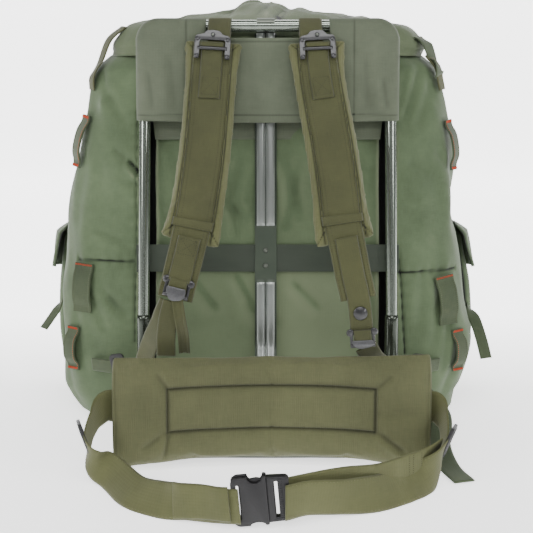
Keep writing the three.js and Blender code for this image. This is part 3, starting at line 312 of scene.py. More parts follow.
def carried(name, places, across, outward, profile, caps=("first", "last")):
    """A section carried along a path: place + across * u + outward * v for each point (u, v) of the profile.

    The profile is one closed ring for the whole path, or a ring for each place."""
    profile = np.asarray(profile, float)
    if profile.ndim == 2:
        profile = np.broadcast_to(profile, (len(places), *profile.shape))
    grid = places[:, None] + across[:, None] * profile[..., :1] + outward[:, None] * profile[..., 1:]
    return surface(name, grid, round_cols=True, caps=caps)


def circle(radius, sides=28):
    a = np.arange(sides) / sides * 2 * math.pi
    return np.stack([np.cos(a), np.sin(a)], 1) * radius


def upper_tube_path():
    """Straight legs, a parabola round each corner and the straight top bar, in order from the left foot."""
    def half(z):
        share = np.clip((z - SOCKET_TOP_Z) / (TOP_BAR_Z - SOCKET_TOP_Z), 0, 1)
        return FRAME_HALF_LOW + share * (FRAME_HALF_TOP - FRAME_HALF_LOW)
    rise = np.concatenate([[109.3], np.linspace(SOCKET_TOP_Z, TOP_BAR_Z - CORNER_R, 12)])
    w = np.linspace(0, 1, 18)[1:]
    top, shoulder = half(TOP_BAR_Z), half(TOP_BAR_Z - CORNER_R)
    corner_x = (1 - w) ** 2 * shoulder + 2 * w * (1 - w) * top + w ** 2 * (top - CORNER_R)
    corner_z = TOP_BAR_Z - CORNER_R * (1 - w) ** 2
    bar = np.linspace(top - CORNER_R, 0, 8)[1:]
    x = np.concatenate([half(rise), corner_x, bar])
    z = np.concatenate([rise, corner_z, np.full(len(bar), TOP_BAR_Z)])
    return np.vstack([at(FRAME_X - x, z), at(FRAME_X + x, z)[::-1][1:]])


def round_tube(name, path, radius, frame_normal):
    tangent = unit(np.gradient(path, axis=0))
    across = unit(np.cross(frame_normal, tangent))
    return carried(name, path, across, np.cross(tangent, across), circle(radius))


def frame_finish(name, dark, light, rough):
    """Bare drawn aluminium under a thin coat of clear green lacquer, rubbed lengthwise."""
    finish = Finish(name, Metallic=0.8, IOR=1.6, Coat_Weight=0.5, Coat_Roughness=0.06)
    drawn = finish.noise(finish.coords(scale=(90, 90, 2)), 1.0, 2, 0.5)
    chips = ((finish.noise(finish.coords(), 260, 3) - 0.66) * 9).clipped()
    finish.colour(chips * 0.2, finish.blend(drawn, dark, light), linear(60, 64, 56))
    finish.feed("Roughness", drawn * 0.05 + rough)
    return finish.material


tube_finish = frame_finish("green_tube_lacquer", linear(120, 128, 118), linear(150, 158, 148), 0.15)
sleeve_tube_finish = frame_finish("dark_tube_lacquer", linear(58, 64, 56), linear(78, 84, 74), 0.22)
# The stay's rib tops are coloured pale grey as a painted highlight; the stay itself is green
stay_rib_highlight_finish = frame_finish("stay_rib_painted_highlight", linear(150, 156, 152), linear(186, 190, 186), 0.3)
flange_finish = frame_finish("flange_lacquer", linear(58, 66, 58), linear(76, 84, 74), 0.35)


def dress(piece, material, slot, *nodes):
    """Gives a piece its material, and lets it ride on the pack and stand for its solids. slot is not used."""
    piece.data.materials.clear()
    piece.data.materials.append(material)
    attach(piece, "root")
    if nodes:
        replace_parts(piece, *nodes)
    return piece


plane_normal = np.array([0, -math.cos(LEAN), math.sin(LEAN)])
upper_tube = round_tube("upper_tube", upper_tube_path(), TUBE_R, plane_normal)
dress(upper_tube, tube_finish, "frame_paint", "upper_frame_tube")

LOWER_BENDS = np.array([
    (1, 0, 1), (0.72, 0, 1), (0.5, 0.09, 0.995), (0.32, 0.34, 0.98), (0.17, 0.66, 0.95), (0.075, 0.88, 0.86),
    (0.012, 0.99, 0.68), (0.002, 1, 0.3),
])
bend_z = (LOWER_TUBE_R + 0.3) + LOWER_BENDS[:, 0] * (SOCKET_TOP_Z - LOWER_TUBE_R - 0.3)
left_leg, right_leg = (at(FRAME_X + side * LOWER_BENDS[:, 2] * FRAME_HALF_LOW, bend_z,
                          LOWER_BENDS[:, 1] * BOW_OUT)
                       for side in (-1, 1))
bends = np.vstack([left_leg, right_leg[::-1]])
lower_path = route(bends, np.tile((0, -1, 1.0), (len(bends), 1)), np.linspace(0, 1, 150))
# The rims of the two mouths are broken
MOUTH_CHAMFER = 0.6
lower_radius = np.full(len(lower_path[0]), float(LOWER_TUBE_R))
lower_radius[[0, -1]] -= MOUTH_CHAMFER
lower_tube = carried("lower_tube", lower_path[0], lower_path[2], lower_path[3],
                     circle(1)[None] * lower_radius[:, None, None])
dress(lower_tube, sleeve_tube_finish, "frame_paint", "lower_frame_tube")

# The stay's section is a flat strip with two round ribs, whose height falls to nothing where it is pressed flat.
STAY_X, STAY_WIDTH, STAY_PLATE, STAY_RISE, STAY_OUT = -1, 27, 2.4, 3.6, -7
stay_rows = np.array([  # height, how far out, ribs
    (492, STAY_OUT, 1), (262, STAY_OUT, 1), (256, STAY_OUT, 0), (192, STAY_OUT, 0), (186, STAY_OUT, 1),
    (bend_z[1], STAY_OUT, 1), (bend_z[2], STAY_OUT + 0.1 * BOW_OUT, 1),
    (bend_z[3], STAY_OUT + 0.33 * BOW_OUT, 1),
    (37, STAY_OUT + 0.62 * BOW_OUT, 1), (18, BOW_OUT - 8.5, 0),
])
run = np.concatenate([np.linspace(0, 1, 20), np.linspace(1, 2, 8)[1:], np.linspace(2, 3, 6)[1:],
                      np.linspace(3, 4, 8)[1:], np.linspace(4, 9, 40)[1:]])
stay_z, stay_out, stay_rise = (np.interp(run, np.arange(len(stay_rows)), stay_rows[:, c]) for c in range(3))
stay_places = at(STAY_X, stay_z, stay_out)
stay_run = unit(np.gradient(stay_places, axis=0))
stay_face = unit(np.cross(np.array([1.0, 0, 0]), stay_run))
stay_face *= -np.sign(stay_face[:, 1:2])
u = np.linspace(-0.5, 0.5, 49)
crest = np.sqrt(np.clip(1 - ((np.abs(u) - 0.235) / 0.19) ** 2, 0, 1)) ** 0.9
upper = np.stack([np.broadcast_to(u * STAY_WIDTH, (len(run), 49)),
                  STAY_PLATE + STAY_RISE * crest[None] * (0.5 - 0.5 * np.cos(math.pi * stay_rise[:, None]))],
                  -1)
lower = np.broadcast_to(np.array([(STAY_WIDTH / 2, 0), (-STAY_WIDTH / 2, 0)], float), (len(run), 2, 2))
stay = carried("stay", stay_places, np.tile((1.0, 0, 0), (len(run), 1)), stay_face,
               np.concatenate([upper, lower], 1))
dress(stay, stay_rib_highlight_finish, "frame_paint", "center_stay")

# Green paint on the pressed middle of the stay; elsewhere its rib tops carry a pale grey painted highlight
stay_paint = Finish("stay_paint", IOR=1.5)
scuff = stay_paint.noise(stay_paint.coords(scale=(30, 30, 30)), 1.0, 4, 0.6)
stay_paint.colour(scuff, linear(50, 60, 48), linear(66, 76, 62))
stay_paint.feed("Roughness", scuff * 0.1 + 0.42)
stay_paint.relief(scuff, 0.0002, 0.2)
stay.data.materials.append(stay_paint.material)
stay.data.materials.append(flange_finish)
middles = np.zeros(len(stay.data.polygons) * 3, np.float32)
stay.data.polygons.foreach_get("center", middles)
face_x, face_z = (middles.reshape(-1, 3) / MM)[:, [0, 2]].T
# The flanges and the groove between the ribs keep the stay's dark green; only the rib tops take the pale grey painted
# highlight
off_ribs = (np.abs(face_x - STAY_X) < 0.6) | (np.abs(face_x - STAY_X) > STAY_WIDTH * 0.425)
pressed = (face_z > 189) & (face_z < 259)
stay.data.polygons.foreach_set("material_index", np.where(pressed, 1, off_ribs * 2).astype(np.int32))


def repaint(finish, *nodes):
    """Gives a finish to solids that are shown as they come from the CAD model."""
    for node in nodes:
        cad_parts[node].data.materials.clear()
        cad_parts[node].data.materials.append(finish.material)


bar_paint = Finish("cross_bar_paint", Roughness=0.5)
scuff = bar_paint.noise(bar_paint.coords(scale=(12, 12, 60)), 1.0, 5, 0.7)
bar_paint.colour(scuff, linear(40, 48, 37), linear(58, 67, 54))
bar_paint.relief(bar_paint.noise(bar_paint.coords(), 700, 2), 0.0003, 0.3)
repaint(bar_paint, "cross_bar")
worn_steel = Finish("worn_steel", Metallic=0.75, Roughness=0.42)
grain = worn_steel.noise(worn_steel.coords(), 600, 4, 0.7)
worn_steel.colour(grain, linear(84, 90, 82), linear(140, 144, 134))
worn_steel.relief(grain, 0.0003, 0.4)
repaint(worn_steel, "stay_clip", "stay_rivet_upper", "stay_rivet_lower")

# Bag. One large sack of coated green cloth, gathered at its neck and pulled in along its seams. It is cut from
# a back panel, side panels with a cross seam and a floor, and it hangs slack, so it creases between the seams.
BAG_HEIGHT, BAG_HALF_WIDTH, BAG_DEPTH = 496, 278, 290
BAG_ROWS = np.array([
    (0, 0.835, 0.845, 0.86), (0.022, 0.93, 0.93, 0.93), (0.08, 1, 0.99, 0.985), (0.18, 1.003, 0.993, 1),
    (0.3, 0.996, 0.98, 1), (0.42, 0.98, 0.945, 0.98), (0.545, 0.953, 0.912, 0.93), (0.67, 0.92, 0.905, 0.87),
    (0.8, 0.86, 0.862, 0.8), (0.9, 0.805, 0.81, 0.755), (0.945, 0.74, 0.745, 0.7), (0.97, 0.6, 0.6, 0.58),
    (1, 0.56, 0.56, 0.54),
])


def smooth_rows(shares, rows):
    """Each column of a table of rows at the given shares, on a curve that doesn't overshoot its rows."""
    x, y = rows[:, 0], rows[:, 1:]
    slope = np.diff(y, axis=0) / np.diff(x)[:, None]
    inner = np.where(slope[1:] * slope[:-1] > 0,
                     2 * slope[1:] * slope[:-1] / (slope[1:] + slope[:-1] + 1e-12), 0)
    lean = np.vstack([slope[:1], inner, slope[-1:]])
    k = np.clip(np.searchsorted(x, shares, side="right") - 1, 0, len(x) - 2)
    h = np.diff(x)[k]
    w = np.clip((shares - x[k]) / h, 0, 1)[..., None]
    h = h[..., None]
    return (y[k] * (1 + 2 * w) * (1 - w) ** 2 + lean[k] * h * w * (1 - w) ** 2
            + y[k + 1] * w ** 2 * (3 - 2 * w) - lean[k + 1] * h * w ** 2 * (1 - w))


def power(value, n):
    return np.sign(value) * np.abs(value) ** n


def bag_skin(z, angle, off=0.0):
    """The bag's outline at height z: a superellipse, squarer towards the wearer, moved out along its normal."""
    z, angle, off = np.broadcast_arrays(*(np.asarray(v, float) for v in (z, angle, off)))
    rows = smooth_rows(np.clip(z / BAG_HEIGHT, 0, 1), BAG_ROWS)
    left, right, depth = rows[..., 0] * BAG_HALF_WIDTH, rows[..., 1] * BAG_HALF_WIDTH, rows[...,
                                                                                            2] * BAG_DEPTH
    c, s = np.cos(angle), np.sin(angle)
    half = np.where(c < 0, left, right)
    n = np.where(s < 0, 3.6, 2.7)
    neck = np.clip((z / BAG_HEIGHT - 0.9) / 0.07, 0, 1)
    neck = neck * neck * (3 - 2 * neck) * BAG_DEPTH * 0.1
    nx, ny = power(c, 2 - 2 / n) / half, power(s, 2 - 2 / n) / (depth / 2)
    length = np.hypot(nx, ny)
    front = FOOT_Y + z * math.tan(LEAN) + 9.6 / math.cos(LEAN)
    return np.stack([half * power(c, 2 / n) + off * nx / length,
                     front + neck + depth / 2 * (1 + power(s, 2 / n)) + off * ny / length, z], -1)


def ripple(a, b, seed, count=7, low=1.0, high=3.0):
    """Soft unevenness of cloth: count sine waves over a and b, each half as strong as it is fine."""
    draw = np.random.default_rng(seed)
    total = 0
    for _ in range(count):
        pitch, way, phase = draw.uniform(low, high), draw.uniform(0, math.pi), draw.uniform(0, 2 * math.pi)
        total = total + np.sin((a * math.cos(way) + b * math.sin(way)) * pitch + phase) / pitch
    return total * 1.4 / count ** 0.5


def by_line(x, z, from_x, from_z, to_x, to_z):
    """How far points are along a line, as a share of it, how far they are beside it, and its length."""
    run_x, run_z = to_x - from_x, to_z - from_z
    length = math.hypot(run_x, run_z)
    along = ((x - from_x) * run_x + (z - from_z) * run_z) / length ** 2
    aside = ((x - from_x) * run_z - (z - from_z) * run_x) / length
    return along, aside, length


def crease(x, z, from_x, from_z, to_x, to_z, wide, deep):
    """A fold along a straight line: a valley of the given depth with a low ridge beside it, fading at its ends."""
    along, aside, _ = by_line(x, z, from_x, from_z, to_x, to_z)
    ends = np.clip(1.15 - np.abs(2 * along - 1) ** 3, 0, 1) * (np.abs(2 * along - 1) < 1.2)
    return ends * (-deep * np.exp(-(aside / wide) ** 2)
                   + 0.55 * deep * np.exp(-((aside - 1.8 * wide) / (1.3 * wide)) ** 2))


# Folds that show beside and between the tubes, as x and z of their ends, their width and depth
BACK_FOLDS = [
    (-196, 352, -176, 338, 6, 3), (-176, 338, -154, 314, 3.2, 6), (-205, 340, -160, 330, 7, 2),
    (-190, 318, -150, 300, 6, 1.8), (-178, 262, -150, 282, 5, 1.6), (-222, 250, -180, 234, 5, 1.7),
    (-205, 168, -175, 140, 7, 2.2),
    (-232, 176, -205, 120, 6, 2.4), (-214, 180, -190, 150, 5, 1.8), (-250, 150, -238, 60, 7, 2.2),
    (-200, 420, -176, 380, 7, 2.4), (-215, 455, -196, 400, 6, 2.4), (-238, 330, -246, 245, 8, 2.6),
    (196, 452, 172, 380, 7, 5), (214, 440, 190, 376, 8, 3), (176, 450, 166, 400, 6, 2.6),
    (178, 335, 208, 320, 7, 2), (170, 300, 196, 286, 6, 1.7), (216, 352, 240, 318, 6, 2.2),
    (244, 345, 250, 240, 8, 3), (200, 205, 194, 120, 7, 2), (226, 190, 214, 96, 6, 2.2),
    (240, 160, 226, 60, 6, 2.4), (256, 120, 236, 30, 8, 2.6),
    (-50, 330, -30, 235, 8, 3), (-28, 345, -42, 290, 7, 2.6), (-62, 300, -22, 262, 7, 2.4),
    (-40, 200, -12, 150, 6, 1.6), (20, 352, 42, 262, 8, 3.2), (40, 340, 24, 250, 7, 2.2),
    (100, 372, 118, 300, 7, 2.8), (122, 350, 104, 262, 7, 2.6), (14, 230, 40, 206, 6, 2),
    (-92, 190, -60, 150, 7, 2), (-30, 160, 20, 130, 8, 1.6), (30, 190, 70, 150, 7, 1.8),
    (-120, 360, -100, 280, 7, 2.6), (-140, 300, -118, 240, 6, 2),
]
SEAMS = [(-246, 209, -168, 212), (166, 198, 250, 195), (-162, 400, -168, 110), (168, 215, 178, 92)]
GAP_DEPTH, GAP_HALF, GAP_LEFT, GAP_RIGHT = 34, 8.5, -150, 152.5


def tube_gaps(x, z, angle):
    """Where the cloth falls back from the frame beside the tubes and leaves a dark gap, from 0 to 1."""
    left = np.exp(-((x - GAP_LEFT - 0.01 * (z - 250)) / GAP_HALF) ** 4)
    right = np.exp(-((x - GAP_RIGHT + 0.01 * (z - 250)) / GAP_HALF) ** 4)
    return (left + right) * (np.sin(angle) < -0.5) * np.clip((400 - z) / 20, 0, 1) * np.clip((z - 40) / 20, 0,
                                                                                             1)


def bag_relief(x, z, angle):
    """How far the cloth stands out: soft ripples all over, the folds on the wearer's side, and the sewn seams."""
    facing = np.clip(-np.sin(angle) * 3 + 1.2, 0, 1)
    around = angle * 170
    relief = ripple(around / 34, z / 40, 3, 9, 0.8, 2.6) * 1.9 + ripple(around / 17, z / 30, 8, 7, 0.9, 2.2)
    relief = relief + ripple(around / 7, z / 11, 17, 7, 0.7, 1.8) * 0.4
    folds = sum(crease(x, z, *f) for f in BACK_FOLDS)
    draw = np.random.default_rng(21)
    for _ in range(46):
        cx, cz = draw.uniform(-10, 545), draw.uniform(20, 440)
        tilt, size = draw.normal(math.pi / 2, 0.6), draw.uniform(22, 60)
        half_x, half_z = size * math.cos(tilt) / 2, size * math.sin(tilt) / 2
        relief = relief + crease(around, z, cx - half_x, cz - half_z, cx + half_x, cz + half_z,
                                 draw.uniform(4, 9),
                                 draw.uniform(1, 2.8)) * np.clip(np.sin(angle) * 4 + 1, 0, 1)
    relief = relief + folds * facing
    for seam in SEAMS:
        along, aside, length = by_line(x, z, *seam)
        inside = np.clip((0.52 - np.abs(along - 0.5)) * 40, 0, 1) * (np.sin(angle) < 0)
        relief = relief - inside * (2.2 * np.exp(-(aside / 1.6) ** 2)
                                    + 0.8 * np.exp(-(aside / 8) ** 2) * (1 + 0.8 * np.sin(along * length / 2.3)))
    relief = relief - GAP_DEPTH * tube_gaps(x, z, angle)
    foot_corner = np.exp(-((z - 12) / 42) ** 2) * np.clip(np.cos(angle + 0.35) * 2.4 - 1.2, 0, 1)
    low_bulge = np.exp(-((z - 96) / 30) ** 2) * np.clip(np.cos(angle + 0.2) * 3 - 2.2, 0, 1)
    relief = relief - 13 * foot_corner + 5 * low_bulge
    behind_bar = (np.sin(angle) < -0.5) * np.exp(-(((z - 219) / 24) ** 4)) * (np.abs(x) < 170)
    return np.where(relief > 0, relief * (1 - behind_bar), relief) - 1.2


bag_angle = np.concatenate([np.linspace(0, math.pi, 150, endpoint=False),
                            np.linspace(math.pi, 2 * math.pi, 330, endpoint=False)])
# Even spacing across on the wearer's side, where the square outline would crowd the columns into the corners
spread = bag_angle[150:] - math.pi
bag_angle[150:] = math.pi + np.arccos(np.clip(power(np.cos(spread), 1.7), -1, 1))
heights = np.concatenate([[0.2, 1.2, 3.5], np.linspace(7, 470, 176), np.linspace(474, 494, 6)])
zz, aa = np.meshgrid(heights, bag_angle, indexing="ij")
base = bag_skin(zz, aa)
fade = np.clip((zz - 4) / 22, 0, 1) * np.clip((488 - zz) / 14, 0.15, 1)
relief = bag_relief(base[..., 0], zz, aa) * fade
outer = bag_skin(zz, aa, relief)


def standing(relief, reach=5, depth=4.0):
    """How far a relief stands out of the mean around it, as 0.5 where it is even and 1 at depth above it."""
    mean = relief
    for _ in range(reach):
        rows = np.vstack([mean[:1], mean, mean[-1:]])
        mean = (np.roll(mean, 1, 1) + np.roll(mean, -1, 1) + rows[:-2] + rows[2:] + 2 * mean) / 6
    return 0.5 + (relief - mean) / (2 * depth)


inner_z = np.concatenate([np.linspace(490, 10, 14), [3.0]])
iz, ia = np.meshgrid(inner_z, bag_angle, indexing="ij")
inner_base = bag_skin(iz, ia)
inner = bag_skin(iz, ia, -14 * np.clip(iz / 40, 0.2, 1) - GAP_DEPTH * tube_gaps(inner_base[..., 0], iz, ia))
bag_shading_marks = standing(relief, 10, 4.5)
# Painted light on the middle panel, strongest below the bar, to lift it out of the shade of the frame and the pads;
# its grooves keep their painted shade
middle = (np.exp(-(base[..., 0] / 150) ** 6) * np.clip((395 - zz) / 60, 0, 1) * np.clip(-np.sin(aa) * 4 - 1,
                                                                                        0, 1)
          * (0.66 + 0.2 * np.clip(base[..., 0] / 60 + 0.5, 0, 1)) * (1 - 0.42 * np.clip((zz - 195) / 30, 0,
                                                                                        1)))
bag_shading_marks = bag_shading_marks + 0.5 * middle * np.clip((bag_shading_marks - 0.28) / 0.2, 0, 1)
# Painted shade: the gaps beside the tubes are marked down so that the cloth shows black there
bag_shading_marks = bag_shading_marks - 2.5 * tube_gaps(base[..., 0], zz, aa)
for seam in SEAMS:
    along, aside, _ = by_line(base[..., 0], zz, *seam)
    bag_shading_marks = bag_shading_marks - 0.32 * np.exp(-(aside / 1.5) ** 2) * (np.abs(along - 0.5) < 0.5) * (np.sin(aa) < 0)
bag = surface("bag", np.concatenate([outer, inner]), round_cols=True, caps=("first", "last"), folds=bag_shading_marks)


def woven(name, dark, light, worn, thread=0.9, slub=1.0, rough=0.86, sheen=0.1, folded=False):
    """A woven cloth: blotches of fade, streaks of thick thread along both ways of the UV map, and a fine weave.

    folded cloth is paler on its ridges, partly from rubbed wear and partly as painted highlight, and darker in its
    grooves as painted shade, by the fold marks of its points."""
    cloth = Finish(name, Sheen_Weight=sheen, Sheen_Roughness=0.5, IOR=1.42)
    where = cloth.coords()
    fade = ((cloth.noise(where, 9, 5, 0.6) - 0.5) * 2.2 + 0.5).clipped()
    stain = ((cloth.noise(where, 34, 4, 0.6) - 0.5) * 1.8 + 0.5).clipped()
    warp = cloth.noise(cloth.coords("UV", (1900, 70, 1)), 1.0, 2, 0.6)
    weft = cloth.noise(cloth.coords("UV", (70, 1900, 1)), 1.0, 2, 0.6)
    threads = (warp + weft) * 0.5
    mix = fade * 0.65 + stain * 0.35 + (threads - 0.5) * slub
    if folded:
        fold = cloth.add("Attribute", {"attribute_name": "fold"}, out=2)
        # Painted shade in the grooves and painted highlight on the ridges, by the fold marks
        mix = mix + (fold - 0.5) * 0.9
    body = cloth.blend(mix.clipped(), dark, light)
    if folded:
        # Ridges drawn towards the worn colour: partly rubbed wear, partly painted light
        body = cloth.blend(((fold - 0.72) * 3.4).clipped(), body, worn)
        # Painted shade: grooves darkened, and the lowest marks, such as the gaps beside the frame's tubes, painted
        # near black
        body = cloth.blend(((0.44 - fold) * 1.8).clipped() * 0.98, body, tuple(c * 0.05 for c in dark))
        body = cloth.blend(((0.16 - fold) * 9).clipped(), body, tuple(c * 0.015 for c in dark))
    rubbed = ((cloth.noise(where, 16, 6, 0.7) - 0.6) * 5).clipped()
    cloth.colour(rubbed * 0.35, body, worn)
    cloth.feed("Roughness", threads * 0.1 + rough - 0.05)
    over, under = (cloth.waves(way, cloth.coords("UV"), math.pi / (20 * thread * MM)) for way in "XY")
    cloth.relief((over + under) * 0.25 + threads * 0.6, 0.0005, 0.5)
    return cloth.material


bag_cloth = woven("green_bag_cloth", linear(60, 74, 49), linear(93, 109, 79), linear(114, 124, 96), rough=0.8,
                  folded=True)
dress(bag, bag_cloth, "bag_cloth", "bag_body")

# Lid. A cap of faded cloth drawn down over the gathered neck, slack on top, so it stands up in a soft hump
# between its two straps. Its rim is turned in and sewn.
LID_TOP_Z, LID_RIM_Z, LID_HALF_WIDTH, LID_DEPTH = 537, 466, 218, 232
LID_ROWS = np.array([
    (0, 0.955, 0.985), (0.2, 0.957, 0.99), (0.4, 0.915, 0.96), (0.56, 0.853, 0.9), (0.68, 0.65, 0.79),
    (0.79, 0.38, 0.62), (0.9, 0.2, 0.42), (1, 0.06, 0.16),
])


def lid_skin(share, angle, off=0.0):
    """The lid's outline at a share of its rise, wide across and flat to the wearer, moved out by off."""
    share, angle, off = np.broadcast_arrays(*(np.asarray(v, float) for v in (share, angle, off)))
    rows = smooth_rows(share, LID_ROWS)
    c, s = np.cos(angle), np.sin(angle)
    n = np.where(s < 0, 3.4, 2.5)
    flat = np.clip((share - 0.45) / 0.4, 0, 1)
    z = LID_RIM_Z + share * (LID_TOP_Z - LID_RIM_Z) + off * flat
    front = FOOT_Y + z * math.tan(LEAN) + 9.9 / math.cos(LEAN)
    wide = LID_HALF_WIDTH * rows[..., 0] + off * (1 - flat)
    deep = LID_DEPTH / 2 * rows[..., 1] + off * (1 - flat)
    return np.stack([wide * power(c, 2 / n), front + LID_DEPTH / 2 + deep * power(s, 2 / n), z], -1)


lid_angle = np.linspace(0, 2 * math.pi, 260, endpoint=False)
lid_share = np.concatenate([[0, 0.02, 0.05], np.linspace(0.09, 1, 64)])
ls, la = np.meshgrid(lid_share, lid_angle, indexing="ij")
bare = lid_skin(ls, la)
lid_relief = (ripple(bare[..., 0] / 22, bare[..., 1] / 30, 5, 8, 0.8, 2.4) * 2.2
              + ripple(la * 9, ls * 3, 9, 6, 0.8, 2.2) * 1.2 - 0.8) * np.clip(ls * 8, 0.15, 1)
for fold in ((-60, -80, -20, 60, 7, 3), (10, -90, 46, 70, 8, 3.4), (-120, -70, -90, 50, 8, 2.4),
             (95, -80, 130, 60, 8, 2.6), (-20, -100, 6, 0, 5, 2.4)):
    lid_relief = lid_relief + crease(bare[..., 0], bare[..., 1], *fold) * np.clip((ls - 0.35) * 5, 0, 1)
lid_outer = lid_skin(ls, la, lid_relief * 1.3 - 3.6 * np.clip(1 - ls / 0.14, 0, 1) ** 0.7)[::-1]
inner_share = np.linspace(0, 0.93, 12)
lis, lia = np.meshgrid(inner_share, lid_angle, indexing="ij")
lid = surface("lid", np.concatenate([lid_outer, lid_skin(lis, lia, -5.0)]), round_cols=True,
              caps=("first", "last"), folds=standing(lid_relief, 8, 2.2)[::-1])
lid_cloth = woven("faded_lid_cloth", linear(70, 81, 56), linear(102, 113, 86), linear(124, 130, 106),
                  rough=0.74,
                  folded=True)
dress(lid, lid_cloth, "lid_cloth", "lid_flap")

# Sleeve. A padded envelope of grey green cloth sewn to the top of the bag's back, which drops over the frame's
# corners. Its middle is cut away and hemmed, so that the top bar, the clip and the strap loops stand clear.
SLEEVE_HALF, SLEEVE_R, SLEEVE_CORNER = 161, 9.4, 28
SLEEVE_HEM, SLEEVE_BACK_HEM, WINDOW_Z, WINDOW_HALF = 388, 364, 486.5, 75
sleeve_top = TOP_BAR_Z + SLEEVE_R
low_share = np.linspace(0, 1, 46)
high_z = WINDOW_Z + (sleeve_top - WINDOW_Z) * np.sin(np.linspace(0, math.pi / 2, 16))[1:]
high_z[-1] -= 0.05
high_r = np.sqrt(np.clip(SLEEVE_R ** 2 - np.clip(high_z - TOP_BAR_Z, 0, None) ** 2, 0.01, None))


EVEN_HALF = 105


def sleeve_ring(half, radius):
    """One level of the envelope: across the front, round the right tube, back behind and round the left."""
    fixed = np.linspace(-EVEN_HALF, EVEN_HALF, 71)
    fixed = np.sort(np.concatenate([fixed[np.abs(np.abs(fixed) - WINDOW_HALF) > 2],
                                    [-WINDOW_HALF, WINDOW_HALF]]))
    reach = half - radius
    side = np.linspace(EVEN_HALF, reach, 20)[1:]
    line = np.concatenate([-side[::-1], fixed, side])
    bend = np.linspace(-math.pi / 2, math.pi / 2, 14)[1:-1]
    x = np.concatenate([line, reach + radius * np.cos(bend), line[::-1], -reach - radius * np.cos(bend)])
    out = np.concatenate([np.full(len(line), radius), -radius * np.sin(bend), np.full(len(line), -radius),
                          radius * np.sin(bend)])
    return x, out


rings = []
for share in low_share:
    x, out = sleeve_ring(SLEEVE_HALF, SLEEVE_R)
    back = np.clip(0.5 - out / SLEEVE_R * 0.8, 0, 1) * (np.abs(x) < 140)
    hem = SLEEVE_HEM - (SLEEVE_HEM - SLEEVE_BACK_HEM) * back - 2.5 * np.cos(x / 160 * math.pi / 2) * (1 - back)
    rings.append(np.stack([x, hem + (WINDOW_Z - hem) * share, out], 1))
for z, radius in zip(high_z, high_r):
    above = max(z - (sleeve_top - SLEEVE_CORNER), 0)
    turn_in = SLEEVE_CORNER - math.sqrt(max(SLEEVE_CORNER ** 2 - above ** 2, 0))
    x, out = sleeve_ring(SLEEVE_HALF - turn_in, radius)
    rings.append(np.stack([x, np.full(len(x), z), out], 1))
sleeve_grid = np.stack(rings)
sx, sz, so = sleeve_grid[..., 0], sleeve_grid[..., 1], sleeve_grid[..., 2]
front_face = np.clip(so / SLEEVE_R, 0, 1)
puff = (ripple(sx / 30, sz / 34, 12, 7, 0.7, 2.0) * 0.9 + 1.6 * np.exp(-((sx - 30) / 70) ** 2)
        + sum(crease(sx, sz, *f) for f in (
            (-120, 470, -112, 400, 7, 1.6), (-146, 450, -140, 400, 5, 1.4), (118, 470, 122, 400, 8, 1.8),
            (140, 440, 146, 400, 5, 1.4), (-20, 470, -24, 410, 12, 1.0), (28, 470, 30, 410, 12, 1.0))))
hem_line = (-0.9 * np.exp(-((sz - (SLEEVE_HEM + 7)) / 1.2) ** 2)
            - 0.9 * np.exp(-((sz - (WINDOW_Z - 5)) / 1.1) ** 2) * (np.abs(sx) < WINDOW_HALF + 4))
edge_seams = -1.3 * (np.exp(-((sx + 98) / 1.3) ** 2) + np.exp(-((sx - 104) / 1.3) ** 2))
so = so + front_face * (puff + hem_line + edge_seams) * np.clip((sleeve_top - 4 - sz) / 20, 0, 1)
sleeve_points = at(FRAME_X + sx, sz, so)
mid_x = (sx[:-1] + np.roll(sx, -1, 1)[:-1]) / 2
mid_z = (sz[:-1] + sz[1:]) / 2
stays_on = ~((np.abs(mid_x) < WINDOW_HALF) & (mid_z > WINDOW_Z - 0.01))
# The fold marks give painted shade in the sleeve's hollows, deepest along the hems and the edge seams, and painted
# highlight on its puffs
sleeve = surface("sleeve", sleeve_points, round_cols=True, keep=stays_on,
                 folds=standing(front_face * (puff + (hem_line + edge_seams) * 1.6), 6, 1.6))


def thicken(piece, offset):
    """Gives a single layer of cloth its thickness, from its back at offset -1 to both sides at 0."""
    wall = piece.modifiers.new("cloth thickness", "SOLIDIFY")
    wall.thickness = 1.8 * MM
    wall.offset = offset


thicken(sleeve, -1)
sleeve_cloth = woven("grey_sleeve_cloth", linear(72, 79, 63), linear(96, 103, 85), linear(118, 123, 107),
                     rough=0.8,
                     folded=True)
dress(sleeve, sleeve_cloth, "sleeve_cloth", "frame_sleeve")

